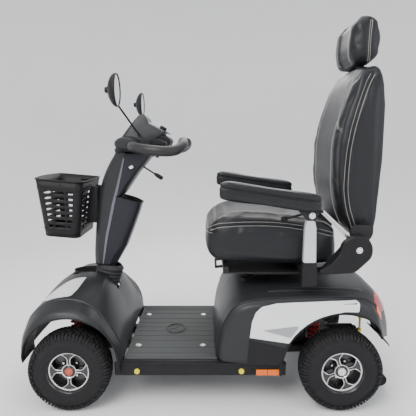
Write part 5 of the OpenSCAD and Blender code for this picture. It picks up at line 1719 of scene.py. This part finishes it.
class SCOOTER_OT_studio(bpy.types.Operator):
    """Camera, soft lights and a plain pale floor"""
    bl_idname = "scooter.studio"
    bl_label = "Studio"

    def execute(self, context):
        scene = context.scene
        view = bpy.data.cameras.new("camera")
        view.lens, view.sensor_width, view.clip_start = EYE_LENS, 36, 0.05
        eye = bpy.data.objects.new("camera", view)
        eye.location, eye.rotation_euler = EYE_PLACE, EYE_TURN
        scene.collection.objects.link(eye)
        scene.camera = eye
        for name, place, size, power, tone in (("key", (1.5, 2.6, 3.1), 2.2, 150, (1, 0.99, 0.97)),
                ("fill", (-2.6, 1.9, 1.9), 2.4, 38, (0.95, 0.97, 1)),
                                               ("rim", (-0.4, -2.5, 2.9), 2.2, 60, (1, 1, 1)),
                                                   ("overhead", (0, 0, 3.6), 2.8, 50, (1, 1, 1))):
            lamp = bpy.data.lights.new(name, "AREA")
            lamp.shape, lamp.size, lamp.energy, lamp.color = "SQUARE", size, power, tone
            held = bpy.data.objects.new(name, lamp)
            held.location = place
            held.rotation_euler = (Vector((0, 0, 0.6)) - Vector(place)).to_track_quat("-Z", "Y").to_euler()
            scene.collection.objects.link(held)
        world = bpy.data.worlds.new("studio")
        world.use_nodes = True
        world.node_tree.nodes["Background"].inputs["Color"].default_value = (0.90, 0.92, 0.95, 1)
        world.node_tree.nodes["Background"].inputs["Strength"].default_value = 0.62
        scene.world = world
        bm = bmesh.new()
        sweep = [(0, 0), (1500, 0), (3000, 0)] + [(3000 + 2200 * math.sin(a * math.pi / 24),
            2200 - 2200 * math.cos(a * math.pi / 24)) for a in range(1, 13)] + [(5200, 5200)]
        turned(bm, sweep, Vector((0, 0, -0.4)), Vector((0, 0, 1)), 96)
        bmesh.ops.remove_doubles(bm, verts=bm.verts, dist=0.02)
        bmesh.ops.recalc_face_normals(bm, faces=bm.faces)
        bmesh.ops.scale(bm, vec=(MM, MM, MM), verts=bm.verts)
        for f in bm.faces:
            f.smooth = True
        mesh = bpy.data.meshes.new("studio_floor")
        bm.to_mesh(mesh)
        bm.free()
        mesh.materials.append(finish("floor_paper", (0.86, 0.86, 0.87), 0.75, mottle=0.02, mottle_scale=2,
            grain=0.05))
        floor = bpy.data.objects.new("studio_floor", mesh)
        scene.collection.objects.link(floor)
        return {"FINISHED"}


ORDER = (SCOOTER_OT_chassis, SCOOTER_OT_tyres, SCOOTER_OT_rims, SCOOTER_OT_front_cowl, SCOOTER_OT_rear_cowl,
    SCOOTER_OT_deck, SCOOTER_OT_tiller, SCOOTER_OT_console,
         SCOOTER_OT_handlebar, SCOOTER_OT_mirrors, SCOOTER_OT_basket, SCOOTER_OT_seat, SCOOTER_OT_backrest,
             SCOOTER_OT_headrest, SCOOTER_OT_arms, SCOOTER_OT_hinges, SCOOTER_OT_studio)


class SCOOTER_PT_pieces(bpy.types.Panel):
    bl_idname = "SCOOTER_PT_pieces"
    bl_label = "Mobility Scooter"
    bl_space_type = "VIEW_3D"
    bl_region_type = "UI"
    bl_category = "Scooter"

    def draw(self, context):
        for group in (context.scene.scooter_sizes, context.scene.scooter_colours):
            for field in group.bl_rna.properties.keys():
                if field not in ("rna_type", "name"):
                    self.layout.prop(group, field)
        for one in ORDER:
            self.layout.operator(one.bl_idname)


CLASSES = (ScooterSizes, ScooterColours, *ORDER, SCOOTER_PT_pieces)


def register():
    for one in CLASSES:
        bpy.utils.register_class(one)
    bpy.types.Scene.scooter_sizes = PointerProperty(type=ScooterSizes)
    bpy.types.Scene.scooter_colours = PointerProperty(type=ScooterColours)


def unregister():
    del bpy.types.Scene.scooter_colours
    del bpy.types.Scene.scooter_sizes
    for one in reversed(CLASSES):
        bpy.utils.unregister_class(one)


def main():
    register()
    for one in ORDER:
        group, call = one.bl_idname.split(".")
        getattr(getattr(bpy.ops, group), call)()


if __name__ == "__main__":
    main()
